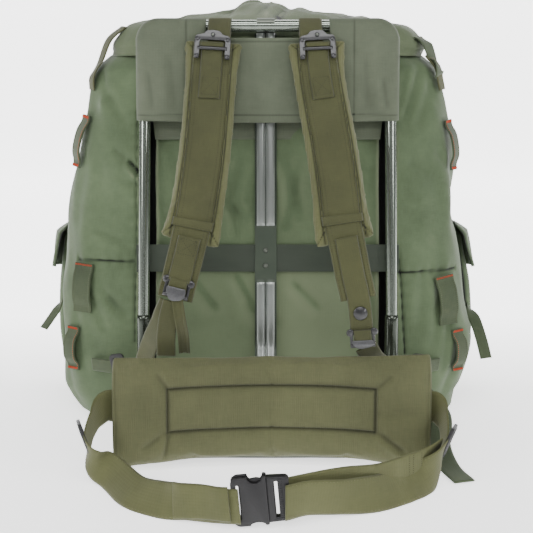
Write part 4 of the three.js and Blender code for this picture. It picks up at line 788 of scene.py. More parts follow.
# Pockets. Two on the sides and one in the middle of the far side, each a gusseted bag sewn to the sack round
# its edge, with a flap that is sewn above its mouth and buttons down over it.
POCKETS = {  # first and last angle round the bag, depth, and the flap's width and length before it was sewn, in metres
    "side_pocket_right": (1, 55, 24, (0.2, 0.1)), "center_pocket": (65, 115, 44, (0.26, 0.125)),
    "side_pocket_left": (125, 179, 24, (0.2, 0.1)),
}
POCKET_FOOT, POCKET_MOUTH = 0.08, 0.46
FLAP_SEAM, FLAP_HEM = 0.482, 0.335
POCKET_ROWS = np.array([(POCKET_FOOT, 0.7), (0.18, 0.98), (0.3, 1.04), (0.42, 0.95), (POCKET_MOUTH, 0.86)])
for name, (first, last, depth, flap_cut) in POCKETS.items():
    angles = np.radians(np.linspace(first, last, 72))
    levels = np.linspace(POCKET_FOOT, POCKET_MOUTH, 60)
    swell_at = smooth_rows(levels, POCKET_ROWS)[:, 0]
    edge = np.abs(np.linspace(-1, 1, 72))
    bulge = np.sqrt(1 - np.minimum(edge, 1) ** 5)
    lip = np.clip(np.minimum(levels - POCKET_FOOT, POCKET_MOUTH + 0.004 - levels) / 0.02, 0, 1) ** 0.5
    zz, aa = np.meshgrid(levels * BAG_HEIGHT, angles, indexing="ij")
    out = 1 + swell_at[:, None] * depth * (0.3 + 0.7 * bulge[None]) * (0.25 + 0.75 * lip[:, None])
    out = out + (ripple(aa * 18, zz / 26, int(depth) + first, 7, 0.8, 2.4) * 1.8) * bulge[None]
    pocket_folds = np.concatenate([standing(out, 6, 3), np.full(out.shape, 0.5)], 1)
    skins = np.concatenate([bag_skin(zz, aa, out), bag_skin(zz[:, ::-1], aa[:, ::-1], 0.6)], 1)
    pocket = surface(name + "_bag", skins, round_cols=True, caps=("first", "last"), folds=pocket_folds)
    dress(pocket, bag_cloth, "bag_cloth", name)
    spread_deg = np.linspace(first - 2, last + 2, 84)
    edge = np.abs(np.linspace(-1, 1, 84))
    down = np.linspace(0, 1, 36)
    hem_drop = FLAP_HEM + 0.03 * edge ** 2
    level = FLAP_SEAM - (FLAP_SEAM - hem_drop[None]) * down[:, None]
    bulge = np.sqrt(np.clip(1 - np.minimum(edge, 1) ** 6, 0, 1))
    roof = np.clip((FLAP_SEAM + 0.004 - level) / 0.03, 0, 1) ** 0.6
    out = 1.5 + (depth + 4.5) * (0.42 + 0.58 * bulge[None]) * roof
    fz, fa = np.broadcast_arrays(level * BAG_HEIGHT, np.radians(spread_deg)[None])
    out = out + ripple(fa * 26, fz / 18, int(depth) + 3 + first, 6, 0.8, 2.2) * 1.6 * roof
    out = out + 5 * edge[None] ** 3 * np.clip(down[:, None] * 1.4 - 0.3, 0, 1)
    flap = surface(name + "_lid", bag_skin(fz, fa, out), folds=standing(out, 6, 4))
    thicken(flap, 0)
    dress(flap, bag_cloth, "bag_cloth", name + "_flap")

# Shoulder pads. Foam sewn between two layers of ribbed cloth, with mitred corners at both ends. A wide webbing
# strip is stitched down the front of each, ends below it, and takes the strain from the buckles.
HARNESS = {
    "left": [(-63.5, 486, 24), (-65.5, 455, 30), (-68, 415, 43), (-71.5, 365, 62), (-76.5, 320, 80),
             (-83, 280, 95),
             (-90, 249, 102), (-97, 221, 105), (-104, 194, 105), (-108, 176, 104)],
    "right": [(60, 486, 24), (62, 455, 30), (67.5, 415, 43), (76, 365, 62), (82, 320, 80), (86.5, 280, 95),
              (92.5, 249, 102), (98, 221, 105), (104, 195, 105), (107, 172, 103.5), (109, 150, 101),
              (110, 134, 99)],
}
PAD_WIDTH, STRIP_WIDTH, WEB = 73, 46, 2


class Strap:
    """The middle line of one shoulder strap, the front of its webbing strip, read off by height."""

    def __init__(self, rows):
        places = at(*np.array(rows, float).T)
        runs = np.array([places[min(i + 1, len(rows) - 1)] - places[max(i - 1, 0)] for i in range(len(rows))])
        faces = unit(np.cross(unit(runs) * (0, 1, 1), (1, 0, 0)))
        faces *= -np.sign(faces[:, 1:2])
        self.shares = np.linspace(0, 1, 900)
        self.knots = (places, faces)
        self.heights = route(places, faces, self.shares)[0][:, 2]

    def at_heights(self, heights):
        share = np.interp(-np.asarray(heights, float), -self.heights, self.shares)
        place, tangent, across, outward = route(*self.knots, share)
        flip = np.sign(across[:, :1])
        return place, tangent, across * flip, outward

    def run(self, top, foot, steps):
        return self.at_heights(np.linspace(top, foot, steps))

    def spot(self, z):
        """The place, the way across and the way out at one height."""
        place, _, across, outward = (v[0] for v in self.at_heights([z]))
        return place, across, outward


def band(width, thick, lift=0.0, crown=0.0, sides=15):
    """The section of flat webbing with rounded edges, its middle raised by crown and standing off by lift."""
    u = np.linspace(-1, 1, sides)
    edge = thick / 2 * (1 - np.abs(u) ** 14)
    rise = crown * (1 - u * u) + lift
    top, under = (np.stack([u * width / 2, rise + s * edge], 1) for s in (1, -1))
    return np.concatenate([top, under[::-1][1:-1]])


CLOTH_STEPS = 20


def swell(piece, cap, voxel=None, pressure=4.0):
    """Blows a sewn shape up a little by cloth simulation, no point moving more than cap, in millimetres.

    voxel is the size of the even mesh that it is made into first, if its own won't do."""
    bpy.context.view_layer.objects.active = piece
    if voxel:
        remesh = piece.modifiers.new("remesh", "REMESH")
        remesh.mode = "VOXEL"
        remesh.voxel_size = voxel * MM
        bpy.ops.object.modifier_apply(modifier=remesh.name)
    before = np.zeros(len(piece.data.vertices) * 3, np.float32)
    piece.data.vertices.foreach_get("co", before)
    cloth = piece.modifiers.new("cloth", "CLOTH")
    cloth.settings.use_pressure = True
    cloth.settings.uniform_pressure_force = pressure
    cloth.settings.quality = 5
    cloth.settings.effector_weights.gravity = 0
    cloth.point_cache.frame_end = CLOTH_STEPS
    for step in range(CLOTH_STEPS):
        bpy.context.scene.frame_set(step + 1)
    pressed = np.zeros_like(before)
    shaped = piece.evaluated_get(bpy.context.evaluated_depsgraph_get())
    shaped.data.vertices.foreach_get("co", pressed)
    move = (pressed - before).reshape(-1, 3)
    length = np.linalg.norm(move, axis=1, keepdims=True)
    move *= np.minimum(1, cap * MM / np.maximum(length, 1e-9))
    piece.modifiers.remove(cloth)
    piece.data.vertices.foreach_set("co", (before.reshape(-1, 3) + move).ravel().astype(np.float32))
    bpy.context.scene.frame_set(1)
    smooth = piece.modifiers.new("smooth", "SUBSURF")
    smooth.levels = smooth.render_levels = 1
    bpy.ops.object.modifier_apply(modifier=smooth.name)
    piece.data.shade_smooth()


def points_of(piece):
    co = np.zeros(len(piece.data.vertices) * 3, np.float32)
    piece.data.vertices.foreach_get("co", co)
    return co.reshape(-1, 3).astype(float) / MM


def move_points(piece, points):
    piece.data.vertices.foreach_set("co", (points * MM).astype(np.float32).ravel())
    piece.data.update()


def relaxed(piece, points, weight, rounds):
    """The points after some rounds in which each moves towards the mean of its neighbours by its weight."""
    ends = np.zeros(len(piece.data.edges) * 2, np.int32)
    piece.data.edges.foreach_get("vertices", ends)
    first, second = ends.reshape(-1, 2).T
    degree = np.bincount(ends, minlength=len(points))[:, None]
    for _ in range(rounds):
        around = np.zeros_like(points)
        np.add.at(around, first, points[second])
        np.add.at(around, second, points[first])
        points = points + (around / degree - points) * weight[:, None]
    return points


def ribbed(name, dark, light, worn, thread, rough=0.88):
    """Cloth whose ribs follow the object's own axes, for pieces that were remeshed and have no UV map."""
    cloth = Finish(name, Sheen_Weight=0.15, Sheen_Roughness=0.5, IOR=1.42)
    where = cloth.coords()
    fade = ((cloth.noise(where, 11, 5, 0.6) - 0.5) * 2.0 + 0.5).clipped()
    warp = cloth.noise(cloth.coords("Object", (1700, 300, 60)), 1.0, 2, 0.6)
    weft = cloth.noise(cloth.coords("Object", (60, 300, 1700)), 1.0, 2, 0.6)
    threads = (warp + weft) * 0.5
    fold = cloth.add("Attribute", {"attribute_name": "fold"}, out=2)
    # Painted shade in the grooves and painted highlight on the ridges, by the fold marks
    body = cloth.blend((fade * 0.8 + 0.1 + (threads - 0.5) * 1.3 + (fold - 0.5) * 0.8).clipped(), dark, light)
    body = cloth.blend(((0.46 - fold) * 2.2).clipped() * 0.9, body, tuple(c * 0.15 for c in dark))
    rubbed = ((cloth.noise(where, 20, 6, 0.7) - 0.6) * 5).clipped()
    cloth.colour(rubbed * 0.3, body, worn)
    cloth.feed("Roughness", threads * 0.1 + rough - 0.05)
    ribs = cloth.waves("X", where, math.pi / (20 * thread * MM))
    cloth.relief(ribs * 0.5 + threads * 0.7, 0.0006, 0.6)
    return cloth.material


pad_cloth = ribbed("olive_pad_cloth", linear(72, 75, 44), linear(98, 100, 66), linear(120, 120, 90), 1.1)
strip_web = woven("olive_strip_webbing", linear(56, 58, 34), linear(79, 81, 50), linear(98, 98, 70), 1.3, 1.2)


def thread_finish(name, grain, dark, light, rough=0.8):
    finish = Finish(name, Roughness=rough)
    finish.colour(finish.noise(finish.coords(), grain), dark, light)
    return finish.material


dark_thread = thread_finish("dark_thread", 400, linear(22, 24, 14), linear(40, 41, 26))


def stitches(line, normals, pitch=3.0, length=2.1, width=0.75):
    """The points and faces of a row of stitches along a line, each a slim eight-sided bead laid on the cloth."""
    line, normals = np.asarray(line, float), np.broadcast_to(np.asarray(normals, float), np.shape(line))
    far = np.concatenate([[0], np.cumsum(np.linalg.norm(np.diff(line, axis=0), axis=1))])
    count = max(int(far[-1] / pitch), 1)
    spots = (np.arange(count) + 0.5) * far[-1] / count
    place, ahead, behind, normal = (
        np.stack([np.interp(spots + step, far, values[:, c]) for c in range(3)], 1)
        for step, values in ((0, line), (0.4, line), (-0.4, line), (0, normals)))
    run = unit(ahead - behind)
    aside = unit(np.cross(normal, run))
    up = unit(np.cross(run, aside))
    bead = np.stack([place + run * length / 2, place + aside * width / 2, place - run * length / 2,
                     place - aside * width / 2, place + up * width * 0.5, place - up * width * 0.4], 1)
    star = np.array([(0, 1, 4), (1, 2, 4), (2, 3, 4), (3, 0, 4), (1, 0, 5), (2, 1, 5), (3, 2, 5), (0, 3, 5)])
    return bead.reshape(-1, 3), (star[None] + 6 * np.arange(count)[:, None, None]).reshape(-1, 3)


def bar_tack(place, across, outward, half, lift, *size):
    """A row of stitches straight across webbing at one place."""
    return stitches(place + across * np.linspace(-half, half, 20)[:, None] + outward * lift, outward, *size)


def sewn(name, rows, material, slot):
    """One piece of all the given rows of stitches."""
    points, faces, start = [], [], 0
    for bead, star in rows:
        points.append(bead)
        faces.append(star + start)
        start += len(bead)
    mesh = bpy.data.meshes.new(name)
    mesh.from_pydata((np.vstack(points) * MM).tolist(), [], np.vstack(faces).tolist())
    return dress(placed(name, mesh), material, slot)


straps = {side: Strap(rows) for side, rows in HARNESS.items()}
PAD_TOP, PAD_FOOT, STRIP_FOOT, PAD_STEPS = 487, 257, 194, 90
harness_stitches = []
for side, strap in straps.items():
    place, tangent, across, outward = strap.run(PAD_TOP, PAD_FOOT, PAD_STEPS)
    u = np.linspace(-1, 1, 31)
    run = np.linspace(0, 1, PAD_STEPS)
    ends = np.clip(np.minimum(run, 1 - run) / 0.035, 0, 1)[:, None] ** 0.5
    front = -2.6 - 1.2 * np.exp(-((np.abs(u) - 0.66) / 0.05) ** 2) + 1.5 * np.exp(-((np.abs(u) - 0.84) / 0.12) ** 2)
    round_edge = np.abs(u) ** 10
    middle = -8.5
    top_side = middle + (front[None] - middle) * (1 - round_edge[None]) * (0.45 + 0.55 * ends)
    low_side = middle - 5.8 * (1 - round_edge[None]) * (0.45 + 0.55 * ends)
    width = PAD_WIDTH / 2 - 0.8 + 0 * ends
    top_ring, low_ring = (np.stack([u[None] * width, side_rise], -1) for side_rise in (top_side, low_side))
    ring = np.concatenate([top_ring, low_ring[:, ::-1][:, 1:-1]], 1)
    pad = carried("pad_" + side, place, across, outward, ring)
    swell(pad, 4, 3.2)
    points = points_of(pad)
    near = np.argmin(((points[:, None] - place[None, ::3]) ** 2).sum(-1), 1) * 3
    local_u = ((points - place[near]) * across[near]).sum(1)
    local_v = ((points - place[near]) * outward[near]).sum(1)
    length = np.linalg.norm(np.diff(place, axis=0), axis=1).sum()
    along = near * (length / (PAD_STEPS - 1)) + ((points - place[near]) * tangent[near]).sum(1)
    on_front = np.clip((local_v + 9) / 4, 0, 1)
    edge_u = np.abs(local_u)
    # Mitres run from the strip's corners to the pad's corners; the strip's edge presses a channel into the pad.
    from_end = np.minimum(along, length - along)
    mitre = np.exp(-((from_end - (PAD_WIDTH / 2 - edge_u) * 1.15) / 1.0) ** 2) * (edge_u > STRIP_WIDTH / 2 - 2)
    channel = np.exp(-((edge_u - STRIP_WIDTH / 2 - 0.8) / 1.4) ** 2)
    hem = np.exp(-((edge_u - PAD_WIDTH / 2 + 3.2) / 1.0) ** 2)
    under = edge_u < STRIP_WIDTH / 2 - 1
    dent = on_front * (1.6 * mitre + 1.2 * channel + 0.6 * hem)
    flat_top = np.where(under & (local_v > -4), np.minimum(local_v, -2.3) - local_v, 0)
    unevenness = ripple(along / 14, local_u / 16, 4, 6, 0.8, 2.2) * 0.35 * on_front
    move_points(pad, points + outward[near] * (flat_top - dent + unevenness)[:, None])
    # Painted shade in the mitres, the channel beside the strip and the hem, and a painted highlight along the raised
    # roll near each edge
    shade = 1.3 * mitre + 1.2 * np.exp(-((edge_u - STRIP_WIDTH / 2 - 0.6) / 1.1) ** 2) + 0.5 * hem
    mark_folds(pad, 0.56 - 0.45 * on_front * shade + 0.12 * np.exp(-((edge_u - 30) / 3.5) ** 2))
    dress(pad, pad_cloth, "pad_cloth", "shoulder_pad_" + side)

    place, tangent, across, outward = strap.run(PAD_TOP - 12, STRIP_FOOT, 110)
    taper = 1 - 0.12 * np.linspace(0, 1, 110)
    section = band(STRIP_WIDTH, WEB, -WEB / 2, 0.0, 25)
    section = section[None] * np.stack([taper, np.ones(110)], 1)[:, None]
    strip = carried("strip_" + side, place, across, outward, section)
    dress(strip, strip_web, "webbing", "pad_strip_" + side)
    # The strip's folded cross hem, a low doubled welt above the pad's foot
    welt_z = 276 if side == "left" else 281
    place, tangent, across, outward = strap.run(welt_z + 5, welt_z - 4, 10)
    welt = carried("strip_hem_" + side, place, across, outward,
                   band(STRIP_WIDTH + 1.5, 1.6, 0.9, 0.2, 17)[None] * np.ones((10, 1, 1)))
    dress(welt, strip_web, "webbing")
    place, _, across, outward = strap.run(PAD_TOP - 13, STRIP_FOOT + 2, 130)
    for s in (-1, 1):
        for inset in (2.4, 6.2):
            aside = s * (STRIP_WIDTH / 2 * np.linspace(1, 0.88, 130) - inset)[:, None]
            line = place + across * aside + outward * 0.1
            harness_stitches.append(stitches(line, outward, 3.0, 2.0, 0.6))
    harness_stitches.append(bar_tack(*strap.spot(welt_z - 2.4), 21, 1.8, 3.0, 2.0, 0.6))

# Sewn tabs. Narrow webbing that is stitched to the strips with a box and a cross, and holds the buckles.
TAB_WIDTH, BUCKLE_THICK, GAP = 26, 3, 0.3
tab_web = woven("olive_tab_webbing", linear(54, 56, 33), linear(77, 79, 48), linear(96, 96, 68), 1.2, 1.2)


def box_cross(strap, top, foot, half, lift):
    """A stitched rectangle and its two diagonals on a strap, between two heights."""
    corners = [(-half, top), (half, top), (half, foot), (-half, foot)]
    rows = []
    for first, second in ((0, 1), (1, 2), (2, 3), (3, 0), (0, 2), (1, 3)):
        (u0, z0), (u1, z1) = corners[first], corners[second]
        w = np.linspace(0, 1, 12)
        place, _, across, outward = strap.at_heights(z0 + (z1 - z0) * w)
        line = place + across * (u0 + (u1 - u0) * w)[:, None] + outward * lift
        rows.append(stitches(line, outward, 2.6, 1.8, 0.6))
    return rows


TABS = [  # side, name, top, foot, how far it stands off the strip at its two ends, box of stitches
    ("left", "upper_tab_left", 472, 415, (3.4, 1.3), (439, 419)),
    ("right", "upper_tab_right", 472, 415, (3.4, 1.3), (439, 419)),
    ("left", "lower_tab_left", 262, 214, (1.3, 4.0), (259, 243)),
    ("right", "lower_tab_right", 262, 157, (1.3, 2.6), (180, 163)),
]
for side, node, top, foot, lifts, (box_top, box_foot) in TABS:
    strap = straps[side]
    place, tangent, across, outward = strap.run(top, foot, 40)
    leaves_strip = 0.35 if lifts[0] > lifts[1] else 0.6
    lift = np.interp(np.linspace(0, 1, 40), (0, leaves_strip, 1), (lifts[0], 1.3, lifts[1]))
    tab = carried(node + "_web", place + outward * lift[:, None], across, outward,
                  band(TAB_WIDTH, WEB, 0, 0.2))
    dress(tab, tab_web, "webbing", node)
    harness_stitches += box_cross(strap, box_top, box_foot, 9.5, 2.6)
sewn("harness_stitching", harness_stitches, dark_thread, "webbing")

# Kidney pad. A wide board of foam in ribbed cloth, bound along its edges and quilted once round with a long
# rectangle, so that it stands proud between the seams and puckers at the rectangle's corners.
KIDNEY_ROWS = np.array([(-1, 0.03, 0.97, 1), (-0.75, 0.03, 0.965, 0.925), (-0.4, 0.03, 0.95, 0.82),
                        (0, 0.03, 0.945, 0.775), (0.4, 0.03, 0.96, 0.82), (0.75, 0.03, 0.985, 0.925),
                        (1, 0.03, 1, 1)])
KIDNEY_X, KIDNEY_HALF, KIDNEY_HEIGHT, KIDNEY_OUT, KIDNEY_THICK = 6, 181, 137, 121, 13
share = np.linspace(-1, 1, 150)
low, high, reach = smooth_rows(share, KIDNEY_ROWS).T
mid_line = at(share * KIDNEY_HALF, 0, reach * KIDNEY_OUT)
run = unit(np.gradient(mid_line, axis=0) * (1, 1, 0))
pad_face = np.stack([run[:, 1], -run[:, 0], 0 * share], 1)
v = np.linspace(-1, 1, 51)
ends = np.clip((1 - np.abs(share)) / 0.035, 0, 1)[:, None] ** 0.5
z_at = (low + high)[:, None] * KIDNEY_HEIGHT / 2 + v[None] * (high - low)[:, None] * KIDNEY_HEIGHT / 2
half_thick = (KIDNEY_THICK / 2 - 1.2) * (1 - np.abs(v[None]) ** 9) * (0.4 + 0.6 * ends)
shell = []
for s in (1, -1):
    points = at(KIDNEY_X + share[:, None] * KIDNEY_HALF, z_at, (reach * KIDNEY_OUT)[:, None])
    shell.append(points + pad_face[:, None] * (s * half_thick)[..., None])
kidney = surface("kidney_board", np.concatenate([shell[0], shell[1][:, ::-1][:, 1:-1]], 1), round_cols=True,
                 caps=("first", "last"))
swell(kidney, 5)


def inside_rim(points):
    """How far points are inside the kidney pad's outline."""
    x, z = points[:, 0], points[:, 2]
    foot_z, top_z = (np.interp((x - KIDNEY_X) / KIDNEY_HALF, share, edge) * KIDNEY_HEIGHT for edge in (low,
                                                                                                       high))
    return np.minimum.reduce([x - KIDNEY_X + KIDNEY_HALF, KIDNEY_X + KIDNEY_HALF - x, z - foot_z, top_z - z])


points = points_of(kidney)
points = relaxed(kidney, points, np.exp(-(inside_rim(points) / 6) ** 2) * 0.6, 5)
x, z = points[:, 0], points[:, 2]
shares_x = (x - KIDNEY_X) / KIDNEY_HALF
centre_out = np.interp(shares_x, share, reach) * KIDNEY_OUT
face = np.stack([np.interp(shares_x, share, pad_face[:, c]) for c in range(3)], 1)
centre = at(x, z, centre_out)
stand = ((points - centre) * face).sum(1)
front = np.clip(stand / 2.5, 0, 1)
left, right, foot, top = -111, 123, 45, 94
dx = np.maximum(left - x, x - right)
dz = np.maximum(foot - z, z - top)
to_box = np.where((dx > 0) & (dz > 0), np.hypot(dx, dz), np.maximum(dx, dz))
quilt = np.exp(-(to_box / 1.5) ** 2) * 2.6 + np.exp(-(to_box / 7) ** 2) * 1.8
creases = sum(np.clip(crease(x, z, *f), -4, 4) for f in (
    (124, 94, 142, 112, 3.0, 1.6), (126, 45, 158, 22, 3.5, 2.4), (-110, 45, -116, 14, 3.0, 2.2),
    (-113, 46, -142, 26, 4.5, 1.8), (-111, 94, -124, 114, 3.4, 1.8), (124, 66, 172, 68, 6, 1.0)))
bound = 0.9 * np.exp(-((inside_rim(points) - 5) / 1.0) ** 2)
soft = ripple(x / 26, z / 20, 31, 7, 0.7, 2.2) * 0.6
move_points(kidney, points + face * (front * (-quilt + creases - bound + soft))[:, None])
# Painted shade along the quilting line and in the creases, a dark line at each bound end, and a little painted light
# on the crests of the creases and bumps
line_shade = 0.26 + 0.12 * np.sin(x * 1.1) * (np.abs(dx) < 3)
mark_folds(kidney,
           0.54 - front * (line_shade * np.exp(-(to_box / 1.7) ** 2) + 0.13 * np.exp(-(to_box / 6) ** 2)
                                   + 0.2 * np.exp(-((np.abs(x - KIDNEY_X) - 176) / 1.2) ** 2)) + creases * 0.1
           + soft * 0.05)
kidney_cloth = ribbed("olive_kidney_cloth", linear(70, 72, 46), linear(95, 97, 66), linear(114, 114, 86), 1.2)
dress(kidney, kidney_cloth, "pad_cloth", "kidney_pad")

# Strap loops. Webbing folded over the top bar, whose front leaf runs down under the buckle's centre bar.
LOOP_WIDTH, LOOP_X = 28, {"left": -56.5, "right": 53}


def laid(name, knots, steps, section):
    """Webbing of a section along knots, their places and faces, with its places and its ways across and out."""
    place, _, across, outward = route(*knots, np.linspace(0, 1, steps))
    return carried(name, place, across, outward, section), place, across, outward


def webbing(name, rows, steps, section):
    """Webbing along rows of x, height, distance out, and the way it faces across, out and up."""
    rows = np.array(rows, float)
    return laid(name, (at(*rows[:, :3].T), np.stack([rows[:, 3], -rows[:, 4], rows[:, 5]], 1)), steps,
                section)[0]


loop_r = TUBE_R + 2 * GAP + WEB / 2
for side, x in LOOP_X.items():
    round_bar = np.radians([45, 67, 90, 125, 160, 195, 230, 265])
    rows = [(x, TOP_BAR_Z - 25, 28, 0, 1, 0.2), (x, TOP_BAR_Z - 15, 26, 0, 1, 0.5),
            (x, TOP_BAR_Z - 6, 18.6, 0, 1, 1)]
    rows += [(x, TOP_BAR_Z + loop_r * math.sin(a), loop_r * math.cos(a), 0, math.cos(a), math.sin(a))
             for a in round_bar]
    rows += [(x, TOP_BAR_Z - loop_r - 0.3, 8, 0, 0, -1), (x, TOP_BAR_Z - loop_r - 3, 16, 0, -0.4, -1)]
    loop = webbing("loop_" + side, rows, 70, band(LOOP_WIDTH, WEB, 0, 0.2))
    dress(loop, tab_web, "webbing", "top_loop_" + side)

# Strap buckles. Stamped plates lacquered black: two side arms and a centre bar that the webbing rolls over, with a
# domed tab above that is lifted to let the strap slip.
black_lacquer = Finish("black_lacquer", IOR=1.55, Coat_Weight=0.5, Coat_Roughness=0.12)
scratch = black_lacquer.noise(black_lacquer.coords(scale=(90, 90, 300)), 1.0, 5, 0.7)
rub = ((scratch - 0.62) * 8).clipped()
black_lacquer.colour(rub * 0.5, linear(26, 26, 29), linear(86, 86, 88))
black_lacquer.feed("Roughness", scratch * 0.3 + 0.22)
black_lacquer.relief(scratch, 0.0003, 0.3)


def rounded(points, radius, steps=5):
    """A polygon's points with every corner rounded, as far as its edges let it."""
    points = np.asarray(points, float)
    ring = []
    for before, corner, after in zip(np.roll(points, 1, 0), points, np.roll(points, -1, 0)):
        near = min(radius, np.linalg.norm(before - corner) * 0.48, np.linalg.norm(after - corner) * 0.48)
        start, end = corner + unit(before - corner) * near, corner + unit(after - corner) * near
        w = np.linspace(0, 1, steps)[:, None]
        ring.append((1 - w) ** 2 * start + 2 * w * (1 - w) * corner + w ** 2 * end)
    return np.vstack(ring)


def oblong(width, height, cx=0.0, cy=0.0, radius=1.5):
    w, h = width / 2, height / 2
    return rounded([(cx - w, cy - h), (cx + w, cy - h), (cx + w, cy + h), (cx - w, cy + h)], radius)


def plate(name, outlines, thick, place, right, face, bevel=0.5, curve_out=0.0):
    """A plate cut to outlines, the first its rim, with bevelled edges. Its X runs along right, Z along face.

    curve_out bends the plate's top and foot back, by that much at its farthest point."""
    curve = bpy.data.curves.new(name, "CURVE")
    curve.dimensions = "2D"
    curve.fill_mode = "BOTH"
    curve.extrude = (thick / 2 - bevel) * MM
    curve.bevel_depth = bevel * MM
    curve.bevel_resolution = 2
    curve.offset = -bevel * MM
    for outline in outlines:
        spline = curve.splines.new("POLY")
        spline.points.add(len(outline) - 1)
        flat_points = np.zeros((len(outline), 4))
        flat_points[:, :2] = np.asarray(outline) * MM
        flat_points[:, 3] = 1
        spline.points.foreach_set("co", flat_points.ravel())
        spline.use_cyclic_u = True
    drawn = placed(name + "_curve", curve)
    mesh = bpy.data.meshes.new_from_object(drawn.evaluated_get(bpy.context.evaluated_depsgraph_get()))
    bpy.data.objects.remove(drawn)
    bpy.data.curves.remove(curve)
    mesh.name = name
    shape = bmesh.new()
    shape.from_mesh(mesh)
    bmesh.ops.remove_doubles(shape, verts=shape.verts, dist=1e-6)
    bmesh.ops.recalc_face_normals(shape, faces=shape.faces)
    shape.to_mesh(mesh)
    shape.free()
    piece = placed(name, mesh)
    local = points_of(piece)
    tall = np.abs(local[:, 1]).max()
    local[:, 2] -= curve_out * (local[:, 1] / tall) ** 2
    right, face = unit(np.asarray(right, float)), unit(np.asarray(face, float))
    up = np.cross(face, right)
    move_points(piece,
                np.asarray(place, float) + local[:, :1] * right + local[:, 1:2] * up + local[:, 2:] * face)
    piece.data.shade_smooth()
    return piece


def joined(name, pieces):
    """One piece of several meshes."""
    shape = bmesh.new()
    for piece in pieces:
        shape.from_mesh(piece.data)
    mesh = bpy.data.meshes.new(name)
    shape.to_mesh(mesh)
    shape.free()
    for piece in pieces:
        old = piece.data
        bpy.data.objects.remove(piece)
        bpy.data.meshes.remove(old)
    mesh.shade_smooth()
    return placed(name, mesh)


def rod(name, line, across, outward, section):
    """A straight bar along a line of points, its section held the same way all along."""
    return carried(name, line, np.tile(across, (len(line), 1)), np.tile(outward, (len(line), 1)), section)


def turned(name, profile, place, face, sides=28):
    """A round part: a profile of radius and height, spun about face."""
    profile = np.array(profile, float)
    face = unit(np.asarray(face, float))
    side_way = unit(np.cross(face, (0.3, 0.2, 1.0)))
    other = np.cross(face, side_way)
    a = np.arange(sides) / sides * 2 * math.pi
    ring = np.cos(a)[:, None] * side_way + np.sin(a)[:, None] * other
    grid = np.asarray(place) + ring[None] * profile[:, :1, None] + face * profile[:, 1:, None]
    return surface(name, grid, round_cols=True, caps=("first", "last"))


def strap_buckle(name, side, z, width, height, lift):
    """Two side arms that end in round feet, a domed tab with a rivet between their tops, and a centre bar."""
    place, across, outward = straps[side].spot(z)
    middle = place + outward * lift
    up = np.cross(outward, across)
    w, h = width / 2, height / 2
    arm = width * 0.15
    rim = rounded([(-w, -h * 0.94), (-w + arm, -h * 0.94), (-w + arm, h * 0.3), (w - arm, h * 0.3),
                   (w - arm, -h * 0.94),
                   (w, -h * 0.94), (w, h * 0.4), (w * 0.9, h * 0.62), (w * 0.52, h * 0.7),
                   (w * 0.4, h * 0.92),
                   (w * 0.15, h), (-w * 0.15, h), (-w * 0.4, h * 0.92), (-w * 0.52, h * 0.7),
                   (-w * 0.9, h * 0.62),
                   (-w, h * 0.4)], width * 0.06)
    hole = middle + up * h * 0.66
    parts = [plate(name + "_plate", [rim], BUCKLE_THICK - 0.4, middle, across, outward, 0.6, 1.4)]
    for s in (-1, 1):
        for v in (-0.8, 0.32):
            parts.append(turned(name + "_knuckle",
                                [(2.2, -1.2), (2.9, -0.4), (2.9, 0.9), (2.0, 1.8), (0.4, 2.0)],
                                middle + across * s * (w - arm * 0.55) + up * v * h, outward, 16))
    parts.append(turned(name + "_eyelet", [(2.8, 0.7), (2.6, 1.7), (1.8, 2.1), (0.2, 2.2)], hole, outward,
                        18))
    bar = np.linspace(-1, 1, 9)[:, None] * across * (w - arm * 0.6) + middle - up * h * 0.26 + outward * 0.7
    parts.append(rod(name + "_bar", bar, up, outward, circle(2.1, 12)))
    buckle = dress(joined(name, parts), black_lacquer.material, "black_metal")
    rivet = turned(name + "_rivet", [(1.7, 1.9), (1.5, 2.6), (0.8, 2.9), (0.1, 3.0)], hole, outward, 14)
    dress(rivet, worn_steel.material, "steel")
    # The webbing comes from behind the top, rolls out over the bar and goes back under it.
    turns = np.radians(np.linspace(-20, 150, 22))
    roll = (middle + up * (h * 0.02 + 3.6 * np.sin(turns) - 1.5)[:, None]
            + outward * (2.2 * np.cos(turns) - 0.6)[:, None])
    faces = up * np.sin(turns)[:, None] + outward * np.cos(turns)[:, None]
    rolled = carried(name + "_roll", roll, np.tile(across, (22, 1)), faces,
                     band(width - 2.4 * arm, WEB, 0, 0.1))
    dress(rolled, tab_web, "webbing")
    return buckle


for side in ("left", "right"):
    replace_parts(strap_buckle("top_catch_" + side, side, 476, 43, 36, 6.0), "top_buckle_" + side)


def loop_buckle(name, side, z, width, height, lift):
    """Two round heads in the ends of a sewn loop, an arm down from each and a bar in front of the webbing."""
    place, across, outward = straps[side].spot(z)
    middle = place + outward * lift
    up = np.cross(outward, across)
    w, h = width / 2, height / 2
    parts = []
    for s in (-1, 1):
        head = middle + across * s * w + up * h * 0.6
        parts.append(turned(name + "_head",
                            [(3.8, -1.2), (4.4, -0.6), (4.4, 0.5), (3.7, 1.2), (1.6, 1.5), (0.3, 1.5)],
                            head, outward, 22))
        arm = middle + across * s * (w - 1) + up * np.linspace(h * 0.6, -h * 0.8, 8)[:, None]
        parts.append(rod(name + "_arm", arm, across, outward, oblong(3.4, 2.6, 0, 0, 1)))
    bar = middle - up * h * 0.8 + across * np.linspace(-w - 0.6, w + 0.6, 9)[:, None] + outward * 0.6
    parts.append(rod(name + "_bar", bar, up, outward, circle(2.3, 14)))
    buckle = dress(joined(name, parts), black_lacquer.material, "black_metal")
    loop_rows = middle + up * np.linspace(h * 0.85, -h * 0.7, 24)[:, None] + outward * (
        1.6 + 0.9 * np.sin(np.linspace(0, math.pi, 24)))[:, None]
    dress(rod(name + "_fold", loop_rows, across, outward, band(width - 7, WEB, 0, 0.3)), tab_web, "webbing")
    return buckle


